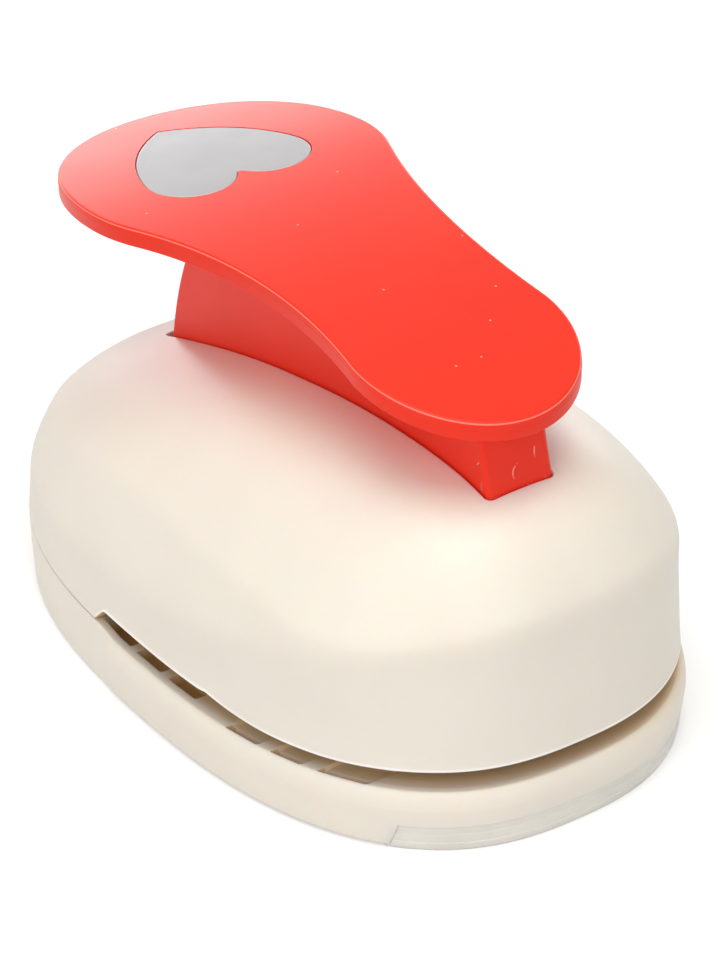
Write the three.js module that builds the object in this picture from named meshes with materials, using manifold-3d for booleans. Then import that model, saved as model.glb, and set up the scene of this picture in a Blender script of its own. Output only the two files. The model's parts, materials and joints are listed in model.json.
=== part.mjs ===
// Heart craft punch: a lever punch that cuts a heart from paper.
// Millimetres. X is the width, Y the length with the paper throat at -Y, Z is up.
// The origin is on the floor under the middle of the body.
import * as THREE from 'three';
import { mergeVertices } from 'three/addons/utils/BufferGeometryUtils.js';
import Module from 'manifold-3d';

const wasm = await Module();
wasm.setup();

// Clearances and cutter overrun
const seat = 0.3;
const run = 0.3;
const overrun = 3;

// The cut heart and the stack of plates, from the floor up
const cutWidth = 76;
const cutFrontY = -34;
const floorGap = 0.6;
const deckUnderZ = 12.4;
const ledgeZ = 16.5;
const plateThickness = 3;
const dieBedZ = 15.4;
const paperSlot = 2;
const bladeThickness = 7;
const bladeShear = 2;
const punchTravel = 8.78;
const stopGap = 0.8;
const carrierThickness = 4;
const wearThickness = 1.5;

const dieBottomZ = dieBedZ + seat;
const dieTopZ = dieBottomZ + plateThickness;
const guideBottomZ = dieTopZ + paperSlot;
const guideTopZ = guideBottomZ + plateThickness;
const bladeBottomZ = guideBottomZ + seat;
const bladeTopZ = bladeBottomZ + bladeThickness;
const carrierBottomZ = guideTopZ + punchTravel + stopGap;
const carrierTopZ = carrierBottomZ + carrierThickness;
const wearBottomZ = carrierTopZ + seat;
const wearTopZ = wearBottomZ + wearThickness;

// Guide posts, springs and the carrier's spring towers
const postRadius = 2.5;
const postStand = 3.5;
const wireRadius = 0.6;
const coilRadius = 4.2;
const coilTurns = 5;
const towerWall = 1.5;
const towerRoof = 2.5;
const towerRise = 9.2;
const postSide = 1.4;

const pocketRadius = coilRadius + wireRadius + 2 * run;
const towerRadius = pocketRadius + towerWall;
const towerTopZ = carrierTopZ + towerRise;
const springTopZ = towerTopZ - towerRoof - seat;
const springBottomZ = guideTopZ + seat;

// Body outline and walls
const bodyHalfLength = 95;
const outlinePower = 2.5;
const sideRoom = 6.7;
const housingWall = 2.5;
const bodyHalfWidth = cutWidth / 2 + postSide + pocketRadius + towerRadius + sideRoom + housingWall;
const seamZ = 18.1;
const throatTopZ = 22.75;
const throatLift = 0.5;
const throatLiftY = -29;
const notchY = 17.6;
const notchRadius = 2.6;
const notchSlope = 45;
const housingDraft = 1;

// Shoulder line of the housing, as heights at the middle and what changes towards the ends
const shoulderHeight = 34.9;
const shoulderRake = 12.5;
const shoulderBow = 7.8;

// Crown line of the housing, in the same way
const crownHeight = 75.1;
const crownRake = 18.6;
const crownBow = 2.9;
const crownTwist = -1.9;
const crownEnds = 28.6;
const crownPower = 2.874;
const crownSoftness = 1.3245;

// Tray
const trayWall = 4;
const trayLip = 1.3;
const trayEdgeZ = 11.5;
const trayDraft = 0.4;
const trayChamfer = 0.6;
const lipBlend = 10;
const deepPocketInset = 2;
const shallowPocketInset = 0.9;
const pocketWidth = 5;
const shallowPocketDepth = 1.4;
const deepPocketDepth = 9;
const chuteGap = 1.2;

// Lever plate, stem and hinge
const leverAngle = 12;
const pivotSetback = 8;
const pinRadius = 3;
const hingeBossRadius = 8;
const rollerRadius = 5;
const rollerPinRadius = 2;
const rollerBossRadius = 4.5;
const stemHalfWidth = 9.05;
const stemWall = 2.5;
const stemCorner = 1.4;
const stemBackRadius = 105;
const stemFrontY = -72.4;
const stemFrontLean = 5;
const stemLeanShare = 0.4252;
const stemFrontBottomZ = 64;
const stemBackBottomZ = 50;
const stemMiddleBottomZ = 46;
const leverTopZ = 111.15;
const leverCrestY = 8.44;
const leverBowRadius = 344.7;
const leverThickness = 4.7;
const wideRadius = 39;
const wideStretch = 1.22;
const wideY = 45.1;
const narrowRadius = 27.05;
const narrowStretch = 1.11;
const narrowY = -47.84;
const waistRadius = 145.9;
const slotGap = 0.35;
const slotBackGap = 2.7;
const slotFrontGap = 0.4;
const slotCorner = stemCorner + seat;

const pivotY = cutFrontY - pivotSetback;
const leverSwing = THREE.MathUtils.degToRad(leverAngle);
const pressRadius = punchTravel / (2 * Math.sin(leverSwing / 2));
const rollerZ = wearTopZ + run + rollerRadius;
const pivotZ = rollerZ - punchTravel / 2;
const rollerY = pivotY + pressRadius * Math.cos(leverSwing / 2);

// Heart inlay
const decalWidth = 43.2;
const decalSetback = 9.9;
const decalThickness = 1.2;
const decalFrontY = wideY - decalSetback;

// Fasteners
const screwRadius = 1.6;
const headRadius = 3;
const headHeight = 2;
const screwSides = 10;

// Finishes
const finishes = {
  cream: { color: 0xf2ecdc, roughness: 0.45, metalness: 0 },
  red: { color: 0xe8432f, roughness: 0.4, metalness: 0 },
  grey: { color: 0xc9c8c8, roughness: 0.5, metalness: 0 },
  clear: { color: 0xd9d6cc, roughness: 0.3, metalness: 0 },
  white: { color: 0xe6e6e2, roughness: 0.5, metalness: 0 },
  nylon: { color: 0xd8d2c2, roughness: 0.5, metalness: 0 },
  rubber: { color: 0x3a3a3a, roughness: 0.9, metalness: 0 },
  steel: { color: 0xb4b7ba, roughness: 0.35, metalness: 0.9 },
  spring: { color: 0x9a9ea3, roughness: 0.3, metalness: 0.9 },
};

// Solids: a closed mesh becomes a solid that can be joined and cut
function solidOf(geometry) {
  geometry.deleteAttribute('normal');
  geometry.deleteAttribute('uv');
  const merged = mergeVertices(geometry);
  return new wasm.Manifold(new wasm.Mesh({
    numProp: 3,
    vertProperties: merged.attributes.position.array,
    triVerts: Uint32Array.from(merged.index.array),
  }));
}

function join(first, ...others) {
  return others.reduce((sum, other) => sum.add(other), first);
}

function cut(first, ...others) {
  return others.reduce((rest, other) => rest.subtract(other), first);
}

// A prism on an outline of [across, up] points, upright or along X
function prismZ(points, lowZ, highZ) {
  const outline = new THREE.Shape(points.map(([x, y]) => new THREE.Vector2(x, y)));
  const geometry = new THREE.ExtrudeGeometry(outline, { depth: highZ - lowZ, bevelEnabled: false });
  geometry.translate(0, 0, lowZ);
  return solidOf(geometry);
}

const sideways = new THREE.Matrix4().makeBasis(
  new THREE.Vector3(0, 1, 0),
  new THREE.Vector3(0, 0, 1),
  new THREE.Vector3(1, 0, 0),
);

function prismX(points, lowX, highX) {
  const outline = new THREE.Shape(points.map(([y, z]) => new THREE.Vector2(y, z)));
  const geometry = new THREE.ExtrudeGeometry(outline, { depth: highX - lowX, bevelEnabled: false });
  geometry.translate(0, 0, lowX);
  geometry.applyMatrix4(sideways);
  return solidOf(geometry);
}

function block([lowX, highX], [lowY, highY], [lowZ, highZ]) {
  const geometry = new THREE.BoxGeometry(highX - lowX, highY - lowY, highZ - lowZ);
  geometry.translate((lowX + highX) / 2, (lowY + highY) / 2, (lowZ + highZ) / 2);
  return solidOf(geometry);
}

function drumZ(radius, x, y, lowZ, highZ, sides = 16) {
  const geometry = new THREE.CylinderGeometry(radius, radius, highZ - lowZ, sides);
  geometry.rotateX(Math.PI / 2);
  geometry.translate(x, y, (lowZ + highZ) / 2);
  return solidOf(geometry);
}

function drumX(radius, y, z, lowX, highX, sides = 20) {
  const geometry = new THREE.CylinderGeometry(radius, radius, highX - lowX, sides);
  geometry.rotateZ(Math.PI / 2);
  geometry.translate((lowX + highX) / 2, y, z);
  return solidOf(geometry);
}

// Points of an arc from one angle to another, both in degrees
function arc(centreX, centreY, radius, from, to, steps) {
  const points = [];
  for (let i = 0; i <= steps; i += 1) {
    const turn = THREE.MathUtils.degToRad(from + (to - from) * i / steps);
    points.push([centreX + radius * Math.cos(turn), centreY + radius * Math.sin(turn)]);
  }
  return points;
}

function roundedRectangle(halfX, lowY, highY, radius, steps = 4) {
  return [
    ...arc(halfX - radius, highY - radius, radius, 0, 90, steps),
    ...arc(radius - halfX, highY - radius, radius, 90, 180, steps),
    ...arc(radius - halfX, lowY + radius, radius, 180, 270, steps),
    ...arc(halfX - radius, lowY + radius, radius, 270, 360, steps),
  ];
}

// A closed stack of rings, with caps given as triangles on the first and last ring
function stack(rings, capOf, apex) {
  const count = rings[0].length;
  const points = rings.flat();
  const faces = [];
  for (let level = 0; level < rings.length - 1; level += 1) {
    for (let i = 0; i < count; i += 1) {
      const a = level * count + i;
      const b = level * count + (i + 1) % count;
      faces.push([a, b, b + count], [a, b + count, a + count]);
    }
  }
  capOf(rings[0]).forEach(([a, b, c]) => faces.push([a, c, b]));
  const last = (rings.length - 1) * count;
  if (apex) {
    points.push(apex);
    for (let i = 0; i < count; i += 1) {
      faces.push([last + i, last + (i + 1) % count, points.length - 1]);
    }
  } else {
    capOf(rings[rings.length - 1]).forEach(([a, b, c]) => faces.push([last + a, last + b, last + c]));
  }
  const geometry = new THREE.BufferGeometry();
  geometry.setAttribute('position', new THREE.Float32BufferAttribute(points.flat(), 3));
  geometry.setIndex(faces.flat());
  return solidOf(geometry);
}

// Cap of a flat ring, in plan or seen along X
function planCap(ring) {
  return THREE.ShapeUtils.triangulateShape(ring.map(([x, y]) => new THREE.Vector2(x, y)), []);
}

function sideCap(ring) {
  return THREE.ShapeUtils.triangulateShape(ring.map(([, y, z]) => new THREE.Vector2(y, z)), []);
}

// Cap of a ring that is mirrored about X = 0 and starts at its back tip
function ribbonCap(ring) {
  const count = ring.length;
  const faces = [[0, 1, count - 1]];
  for (let i = 1; i < count / 2 - 1; i += 1) {
    faces.push([i, i + 1, count - i - 1], [i, count - i - 1, count - i]);
  }
  faces.push([count / 2 - 1, count / 2, count / 2 + 1]);
  return faces;
}

// Body outline: a superellipse, anticlockwise from the back
function bodyRing(insetAt, heightAt, count) {
  const ring = [];
  for (let i = 0; i < count; i += 1) {
    const turn = 2 * Math.PI * i / count;
    const across = -Math.sign(Math.sin(turn)) * Math.abs(Math.sin(turn)) ** (2 / outlinePower);
    const along = Math.sign(Math.cos(turn)) * Math.abs(Math.cos(turn)) ** (2 / outlinePower);
    const inset = insetAt(along * bodyHalfLength);
    const y = along * (bodyHalfLength - inset);
    ring.push([across * (bodyHalfWidth - inset), y, heightAt(y)]);
  }
  return ring;
}

function bodyBlock(inset, lowZ, highZ, count = 40) {
  return stack([lowZ, highZ].map((z) => bodyRing(() => inset, () => z, count)), planCap);
}

// Half width of the body outline at a place along it, and half length at a place across it
function halfWidthAt(y, inset) {
  const share = 1 - Math.abs(y / (bodyHalfLength - inset)) ** outlinePower;
  return (bodyHalfWidth - inset) * share ** (1 / outlinePower);
}

function halfLengthAt(x, inset) {
  const share = 1 - Math.abs(x / (bodyHalfWidth - inset)) ** outlinePower;
  return (bodyHalfLength - inset) * share ** (1 / outlinePower);
}

// Heart outline with its tip to the back, its lobes touching frontY, grown by a margin
const lobeRadiusShare = 0.255;
const lobeShiftShare = 0.245;
const notchRadiusShare = 0.024;
const heartLengthShare = 0.743;
const tangentAngle = 12;

function heartOutline(width, frontY, grow = 0, steps = 6) {
  const radius = width * lobeRadiusShare;
  const shift = width * lobeShiftShare;
  const lobeY = frontY + radius;
  const tipY = lobeY + width * heartLengthShare;
  const tangent = THREE.MathUtils.degToRad(tangentAngle);
  const touchX = shift + radius * Math.cos(tangent);
  const touchY = lobeY + radius * Math.sin(tangent);
  const reach = touchX * Math.cos(tangent) - (tipY - touchY) * Math.sin(tangent);
  const sideRadius = (touchX ** 2 + (tipY - touchY) ** 2) / (2 * reach);
  const sideX = touchX - sideRadius * Math.cos(tangent);
  const sideY = touchY - sideRadius * Math.sin(tangent);
  const outerRadius = sideRadius + grow;
  const tipAngle = THREE.MathUtils.radToDeg(Math.acos(-sideX / outerRadius));
  const notch = width * notchRadiusShare;
  const notchDrop = Math.sqrt((radius + notch) ** 2 - shift ** 2);
  const notchAngle = THREE.MathUtils.radToDeg(Math.atan2(notchDrop, shift));
  const right = [
    ...arc(0, lobeY - notchDrop, notch - grow, 90, notchAngle, 3),
    ...arc(shift, lobeY, radius + grow, notchAngle - 180, tangentAngle, 2 * steps).slice(1),
    ...arc(sideX, sideY, outerRadius, tangentAngle, tipAngle, steps).slice(1),
  ];
  const left = right.slice(1, -1).reverse().map(([x, y]) => [-x, y]);
  return [...right, ...left];
}

// The pieces, moved so that the front lip and the back lie equally far from the origin
const punch = new THREE.Group();
punch.position.y = trayLip / 2;

function piece(name, solid, finish) {
  const mesh = solid.getMesh();
  const geometry = new THREE.BufferGeometry();
  geometry.setAttribute('position', new THREE.BufferAttribute(new Float32Array(mesh.vertProperties), 3));
  geometry.setIndex(new THREE.BufferAttribute(new Uint32Array(mesh.triVerts), 1));
  geometry.computeVertexNormals();
  const node = new THREE.Mesh(geometry, new THREE.MeshStandardMaterial({ ...finishes[finish], flatShading: true }));
  node.name = name;
  punch.add(node);
}

const sides = [['left', -1], ['right', 1]];
const corners = [['front_left', -1, -1], ['front_right', 1, -1], ['rear_left', -1, 1], ['rear_right', 1, 1]];

// Low and high of a span that is mirrored by its side
function span(side, near, far) {
  return side < 0 ? [-far, -near] : [near, far];
}

// A screw with its head at one height and its tip at another
function screw(x, y, headZ, tipZ) {
  const down = Math.sign(tipZ - headZ);
  const neckZ = headZ + down * headHeight;
  const head = drumZ(headRadius, x, y, Math.min(headZ, neckZ), Math.max(headZ, neckZ), screwSides);
  const shank = drumZ(screwRadius, x, y, Math.min(headZ, tipZ), Math.max(headZ, tipZ), screwSides);
  return join(head, shank);
}

function screwHole(x, y, lowZ, highZ) {
  return drumZ(screwRadius + seat, x, y, lowZ, highZ, screwSides);
}

// Places of the case screws, from the inner wall of the housing
const caseBossRadius = 4.5;
const caseBossGap = 1.5;
const caseSideY = 36;
const caseRearX = 18;
const caseHeadZ = 5.7;
const caseScrewLength = 24;
const caseSideX = halfWidthAt(caseSideY, housingWall) - caseBossRadius - caseBossGap;
const caseRearY = halfLengthAt(caseRearX, housingWall) - caseBossRadius - caseBossGap;
const caseTipZ = caseHeadZ + caseScrewLength;
const caseBossBottomZ = ledgeZ + seat;
const casePlaces = [
  ['side_left', -caseSideX, caseSideY],
  ['side_right', caseSideX, caseSideY],
  ['rear_left', -caseRearX, caseRearY],
  ['rear_right', caseRearX, caseRearY],
];

// Upper housing: a dome over a drafted wall, hollow, with the lever slot and the throat notch
const domeRings = 9;

function domeSolid(inset, drop, lowZ, count, ringCount) {
  const half = bodyHalfLength;
  const shoulderAt = (y) => shoulderHeight - shoulderRake * (y / half) + shoulderBow * (y / half) ** 2 - drop;
  const crownAt = (y) => {
    const along = y / half;
    const middle = crownHeight - crownRake * along - crownBow * along ** 2;
    return middle + crownTwist * along ** 3 + crownEnds * along ** 4 - drop;
  };
  const rings = [bodyRing(() => inset, () => lowZ, count)];
  for (let i = 0; i < ringCount; i += 1) {
    const turn = Math.PI / 2 * (1 - i / ringCount);
    const reach = Math.sin(turn) ** (2 / crownPower);
    const rise = Math.max(0, 1 - reach ** crownPower) ** (1 / crownSoftness);
    rings.push(bodyRing(() => inset + housingDraft, () => 0, count).map(([x, y]) => {
      const shoulder = shoulderAt(y * reach);
      return [x * reach, y * reach, shoulder + (crownAt(y * reach) - shoulder) * rise];
    }));
  }
  return stack(rings, planCap, [0, 0, crownAt(0)]);
}

function slotBackY(z) {
  return pivotY + Math.sqrt((stemBackRadius + slotBackGap) ** 2 - (z - pivotZ) ** 2);
}

const slotLevelZ = 57;
const frontLimitY = -bodyHalfLength - trayLip - overrun;
const notchAngle = THREE.MathUtils.degToRad(notchSlope);
const notchArcZ = throatTopZ - notchRadius;
const notchRise = notchArcZ + notchRadius * Math.cos(notchAngle) - seamZ;
const notchArcY = notchY - notchRise / Math.tan(notchAngle) - notchRadius * Math.sin(notchAngle);
const caseBosses = casePlaces.map(([, x, y]) => drumZ(caseBossRadius, x, y, caseBossBottomZ, leverTopZ));
const caseHoles = casePlaces.map(([, x, y]) => screwHole(x, y, caseBossBottomZ - overrun, caseTipZ + seat));
const cavity = cut(domeSolid(housingWall, housingWall, seamZ - overrun, 36, 6), ...caseBosses);
const throatCutter = prismX([
  [frontLimitY, seamZ - overrun],
  [notchY, seamZ - overrun],
  [notchY, seamZ],
  ...arc(notchArcY, notchArcZ, notchRadius, 90 - notchSlope, 90, 4),
  [throatLiftY + throatLift, throatTopZ],
  [throatLiftY, throatTopZ + throatLift],
  [frontLimitY, throatTopZ + throatLift],
], -bodyHalfWidth - overrun, bodyHalfWidth + overrun);
const slotOutline = roundedRectangle(
  stemHalfWidth + slotGap,
  stemFrontY - slotFrontGap,
  slotBackY(slotLevelZ),
  slotCorner,
);
const slotCutter = prismZ(slotOutline, stemMiddleBottomZ, leverTopZ);
const housing = cut(domeSolid(0, 0, seamZ, 60, domeRings), cavity, throatCutter, slotCutter, ...caseHoles);
piece('upper_housing', housing, 'cream');

// Places of the guide posts, beside the lobes and beside the tip of the cut
const rearPostAcrossShare = 0.3684;
const rearPostAlongShare = 0.8684;
const frontPostX = cutWidth / 2 + postSide + pocketRadius;
const frontPostY = cutFrontY + cutWidth * lobeRadiusShare;
const rearPostX = cutWidth * rearPostAcrossShare;
const rearPostY = cutFrontY + cutWidth * rearPostAlongShare;
const cutBackY = cutFrontY + cutWidth * (lobeRadiusShare + heartLengthShare);
const posts = corners.map(([name, side, end]) => ({
  name,
  x: side * (end < 0 ? frontPostX : rearPostX),
  y: end < 0 ? frontPostY : rearPostY,
}));

// Outline that the two plates share, wide under the front posts and narrow behind the throat
const plateFrontMargin = 24;
const plateSideMargin = 5.2;
const plateSideTail = 16.6;
const plateRearMargin = 12;
const plateTail = 20.2;
const plateTaper = 16;
const plateNoseAcross = 14;
const plateNoseAlong = 18;

const plateFrontY = cutFrontY - plateFrontMargin;
const plateSideX = frontPostX + plateSideMargin;
const plateNoseX = plateSideX - plateNoseAcross;
const plateNoseY = plateFrontY + plateNoseAlong;
const plateSideY = frontPostY + plateSideTail;
const plateRearX = rearPostX + plateRearMargin;
const plateTaperY = rearPostY - plateTaper;
const plateRearY = cutBackY + plateTail;

function plateOutline(grow) {
  const right = [
    [plateNoseX + grow, plateFrontY - grow],
    [plateSideX + grow, plateNoseY - grow],
    [plateSideX + grow, plateSideY + grow],
    [plateRearX + grow, plateTaperY + grow],
    [plateRearX + grow, plateRearY + grow],
  ];
  return [...right, ...right.slice().reverse().map(([x, y]) => [-x, y])];
}

const dieScrewSide = 10;
const dieScrewEnd = 8;
const dieScrews = corners.map(([name, side, end]) => ({
  name,
  x: side * (plateRearX - dieScrewSide),
  y: end < 0 ? plateFrontY + dieScrewEnd : plateRearY - dieScrewEnd,
  tipZ: (end < 0 ? dieTopZ : guideTopZ) - seat,
}));

// Base tray: outer block with a soft front lip, hollow below, pocketed above
const footSetback = 29;
const footSide = 4.8;
const footRadius = 6;
const footHeight = 1.9;
const footBossRadius = 8;
const trayBossRadius = 5;
const gripHalfX = 41;
const gripHeight = 7;
const gripThickness = 1.5;
const gripFlange = 7;
const gripBackY = -50;

function frontShare(y) {
  return THREE.MathUtils.smoothstep((notchY - y) / lipBlend, 0, 1);
}

// Rows of the tray's outer wall: height and inset in front, height and inset behind
const softEdge = ledgeZ - trayEdgeZ;
const rearTopZ = seamZ - seat;
const lipRows = [
  [floorGap, trayChamfer, floorGap, trayDraft + trayChamfer],
  [floorGap + trayChamfer, 0, floorGap + trayChamfer, trayDraft],
  [trayEdgeZ, -trayLip, trayEdgeZ, 0],
  ...[30, 60, 90].map((degrees) => {
    const turn = THREE.MathUtils.degToRad(degrees);
    const frontZ = trayEdgeZ + softEdge * Math.sin(turn);
    return [frontZ, -trayLip * Math.cos(turn), trayEdgeZ + (rearTopZ - trayEdgeZ) * Math.sin(turn), 0];
  }),
];
const trayBlock = stack(lipRows.map(([frontZ, frontInset, rearZ, rearInset]) => bodyRing(
  (y) => rearInset + (frontInset - rearInset) * frontShare(y),
  (y) => rearZ + (frontZ - rearZ) * frontShare(y),
  60,
)), ribbonCap);

// Pockets in the ledge, from and to, as shares of the body's half length
const deepPocketShares = [[0.05, 0.153], [-0.09, 0.022], [-0.238, -0.122]];
const shallowPocketShares = [[-0.485, -0.379], [-0.615, -0.527], [-0.776, -0.657]];

function pocketCutter(inset, depth, shares) {
  const lowZ = ledgeZ - depth;
  const rim = cut(bodyBlock(inset, lowZ, seamZ), bodyBlock(inset + pocketWidth, lowZ - overrun, seamZ + overrun));
  const bands = shares.map(([low, high]) => block(
    [-bodyHalfWidth, bodyHalfWidth],
    [low * bodyHalfLength, high * bodyHalfLength],
    [lowZ - overrun, seamZ + overrun],
  ));
  return rim.intersect(join(...bands));
}

const gripBox = (margin) => block(
  [-gripHalfX - margin, gripHalfX + margin],
  [frontLimitY, gripBackY],
  [-overrun, gripHeight + margin],
);
const gripInner = (margin) => join(
  bodyBlock(gripThickness + margin, gripThickness + margin, gripHeight + overrun),
  bodyBlock(gripFlange + margin, -overrun, gripHeight + overrun),
);
const footY = bodyHalfLength - footSetback;
const footX = halfWidthAt(footY, trayWall) - footRadius - footSide;
const feet = sides.map(([name, side]) => ({ name, x: side * footX }));
const trayBosses = [
  ...feet.map(({ x }) => drumZ(footBossRadius, x, footY, footHeight + seat, ledgeZ)),
  ...casePlaces.map(([, x, y]) => drumZ(trayBossRadius, x, y, caseHeadZ + headHeight + seat, ledgeZ)),
];
const tray = cut(
  trayBlock,
  cut(bodyBlock(trayWall, -overrun, deckUnderZ), ...trayBosses),
  bodyBlock(trayWall, ledgeZ, seamZ + overrun),
  prismZ(plateOutline(seat), dieBedZ, seamZ + overrun),
  prismZ(heartOutline(cutWidth, cutFrontY, chuteGap), -overrun, seamZ),
  pocketCutter(deepPocketInset, deepPocketDepth, deepPocketShares),
  pocketCutter(shallowPocketInset, shallowPocketDepth, shallowPocketShares),
  cut(gripBox(seat), gripInner(seat)),
  ...casePlaces.map(([, x, y]) => screwHole(x, y, 0, seamZ)),
  ...dieScrews.map(({ x, y }) => screwHole(x, y, 0, seamZ)),
  ...dieScrews.map(({ x, y }) => drumZ(headRadius + seat, x, y, 0, deckUnderZ, screwSides)),
);
piece('base_tray', tray, 'cream');

// Front grip: a soft strip with a flange under the tray's front edge
const gripBody = trayBlock.intersect(block(
  [-bodyHalfWidth, bodyHalfWidth],
  [frontLimitY, 0],
  [floorGap, gripHeight],
));
const gripSole = bodyBlock(trayChamfer, 0, gripThickness);
piece('front_grip', cut(join(gripBody, gripSole).intersect(gripBox(0)), gripInner(0)), 'clear');

// Rear feet
feet.forEach(({ name, x }) => {
  piece(`rear_foot_${name}`, drumZ(footRadius, x, footY, 0, footHeight), 'rubber');
});

// Case screws
casePlaces.forEach(([name, x, y]) => {
  piece(`case_screw_${name}`, screw(x, y, caseHeadZ, caseTipZ), 'steel');
});

// Hinge brackets and their screws
const bracketThickness = 2.5;
const bracketFootX = 12;
const bracketForward = 12;
const bracketBackward = 6;
const bracketFrontY = pivotY - bracketForward;
const bracketBackY = pivotY + bracketBackward;
const bracketScrewInset = 4.5;
const bracketInnerX = stemHalfWidth + run;
const bracketOuterX = bracketInnerX + bracketThickness;
const bracketBottomZ = guideTopZ + seat;
const bracketFootZ = bracketBottomZ + bracketThickness;
const bracketScrewX = bracketOuterX + bracketFootX / 2;
const bracketScrewYs = [['front', bracketFrontY + bracketScrewInset], ['rear', bracketBackY - bracketScrewInset]];
const bracketScrews = sides.flatMap(([name, side]) => bracketScrewYs.map(([end, y]) => ({
  name: `${end}_${name}`,
  x: side * bracketScrewX,
  y,
})));

// Die plate and guide plate
const heartHole = heartOutline(cutWidth, cutFrontY, run);
const dieHoles = dieScrews.map(({ x, y }) => screwHole(x, y, dieBottomZ - overrun, guideTopZ + overrun));
piece('die_plate', cut(
  prismZ(plateOutline(0), dieBottomZ, dieTopZ),
  prismZ(heartHole, dieBottomZ - overrun, dieTopZ + overrun),
  ...dieHoles,
), 'steel');
piece('guide_plate', cut(
  prismZ(plateOutline(0), guideBottomZ, guideTopZ),
  prismZ(heartHole, guideBottomZ - overrun, guideTopZ + overrun),
  ...dieHoles.filter((hole, index) => dieScrews[index].y > 0),
  ...posts.map(({ x, y }) => drumZ(postRadius + seat, x, y, guideBottomZ - overrun, guideTopZ + overrun)),
  ...bracketScrews.map(({ x, y }) => screwHole(x, y, guideBottomZ - overrun, guideTopZ + overrun)),
), 'steel');

// Spacers that keep the paper slot open behind the cut
const spacerLength = 22;
const spacerDepth = 14;
const spacerEnd = 2;
const spacerBackY = plateRearY - spacerEnd;
sides.forEach(([name, side]) => {
  const bar = block(
    span(side, plateRearX - spacerLength, plateRearX),
    [spacerBackY - spacerDepth, spacerBackY],
    [dieTopZ + seat, guideBottomZ - seat],
  );
  piece(`plate_spacer_${name}`, cut(bar, ...dieHoles), 'steel');
});
dieScrews.forEach(({ name, x, y, tipZ }) => {
  piece(`die_screw_${name}`, screw(x, y, deckUnderZ - seat - headHeight, tipZ), 'steel');
});

// Guide posts and helical return springs
function springSolid(x, y) {
  const lowZ = springBottomZ + wireRadius;
  const highZ = springTopZ - wireRadius;
  const stepsPerTurn = 8;
  const wireSides = 5;
  const steps = coilTurns * stepsPerTurn;
  const pitch = (highZ - lowZ) / coilTurns;
  const slope = Math.atan2(pitch, 2 * Math.PI * coilRadius);
  const centres = [];
  const rings = [];
  for (let i = 0; i <= steps; i += 1) {
    const turn = 2 * Math.PI * i / stepsPerTurn;
    const z = lowZ + (highZ - lowZ) * i / steps;
    const outward = new THREE.Vector3(Math.cos(turn), Math.sin(turn), 0);
    const along = new THREE.Vector3(-Math.sin(turn) * Math.cos(slope), Math.cos(turn) * Math.cos(slope), Math.sin(slope));
    const upward = outward.clone().cross(along);
    const centre = outward.clone().multiplyScalar(coilRadius).add(new THREE.Vector3(x, y, z));
    centres.push(centre);
    const ring = [];
    for (let k = 0; k < wireSides; k += 1) {
      const roll = -2 * Math.PI * k / wireSides;
      const point = centre.clone()
        .addScaledVector(outward, wireRadius * Math.cos(roll))
        .addScaledVector(upward, wireRadius * Math.sin(roll));
      ring.push(point.toArray());
    }
    rings.push(ring);
  }
  let least = Infinity;
  centres.forEach((centre, i) => {
    centres.slice(i + stepsPerTurn / 2 + 1).forEach((other) => {
      least = Math.min(least, centre.distanceTo(other) - 2 * wireRadius);
    });
  });
  const fan = (ring) => ring.slice(2).map((point, i) => [0, i + 1, i + 2]);
  return { solid: stack(rings, fan), least };
}

posts.forEach(({ name, x, y }) => {
  const post = drumZ(postRadius, x, y, guideBottomZ + seat, towerTopZ + postStand, 16);
  piece(`guide_post_${name}`, post, 'steel');
  const { solid, least } = springSolid(x, y);
  piece(`return_spring_${name}`, solid, 'spring');
  console.log(`return_spring_${name}: least gap between turns ${least.toFixed(2)} mm`);
});

// Punch blade with a shallow roof ground in its underside, and the screws that hold it
const bladeScrewAcrossShare = 0.263;
const bladeScrewAlongShare = 0.79;
const bladeScrewDepth = 3.5;
const bladeScrewX = cutWidth * bladeScrewAcrossShare;
const bladeScrews = [
  ['left', -bladeScrewX, frontPostY],
  ['right', bladeScrewX, frontPostY],
  ['rear', 0, cutFrontY + cutWidth * bladeScrewAlongShare],
];
const bladeScrewTipZ = bladeTopZ - bladeScrewDepth;
const bladeHoles = bladeScrews.map(([, x, y]) => screwHole(x, y, bladeScrewTipZ - seat, carrierTopZ + overrun));
const shearRoof = prismX([
  [cutFrontY, bladeBottomZ],
  [cutFrontY, bladeBottomZ - overrun],
  [cutBackY, bladeBottomZ - overrun],
  [cutBackY, bladeBottomZ],
  [(cutFrontY + cutBackY) / 2, bladeBottomZ + bladeShear],
], -cutWidth, cutWidth);
piece('punch_blade', cut(
  prismZ(heartOutline(cutWidth, cutFrontY), bladeBottomZ, bladeTopZ),
  shearRoof,
  ...bladeHoles,
), 'steel');
bladeScrews.forEach(([name, x, y]) => {
  piece(`blade_screw_${name}`, screw(x, y, carrierTopZ + seat + headHeight, bladeScrewTipZ), 'steel');
});

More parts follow.
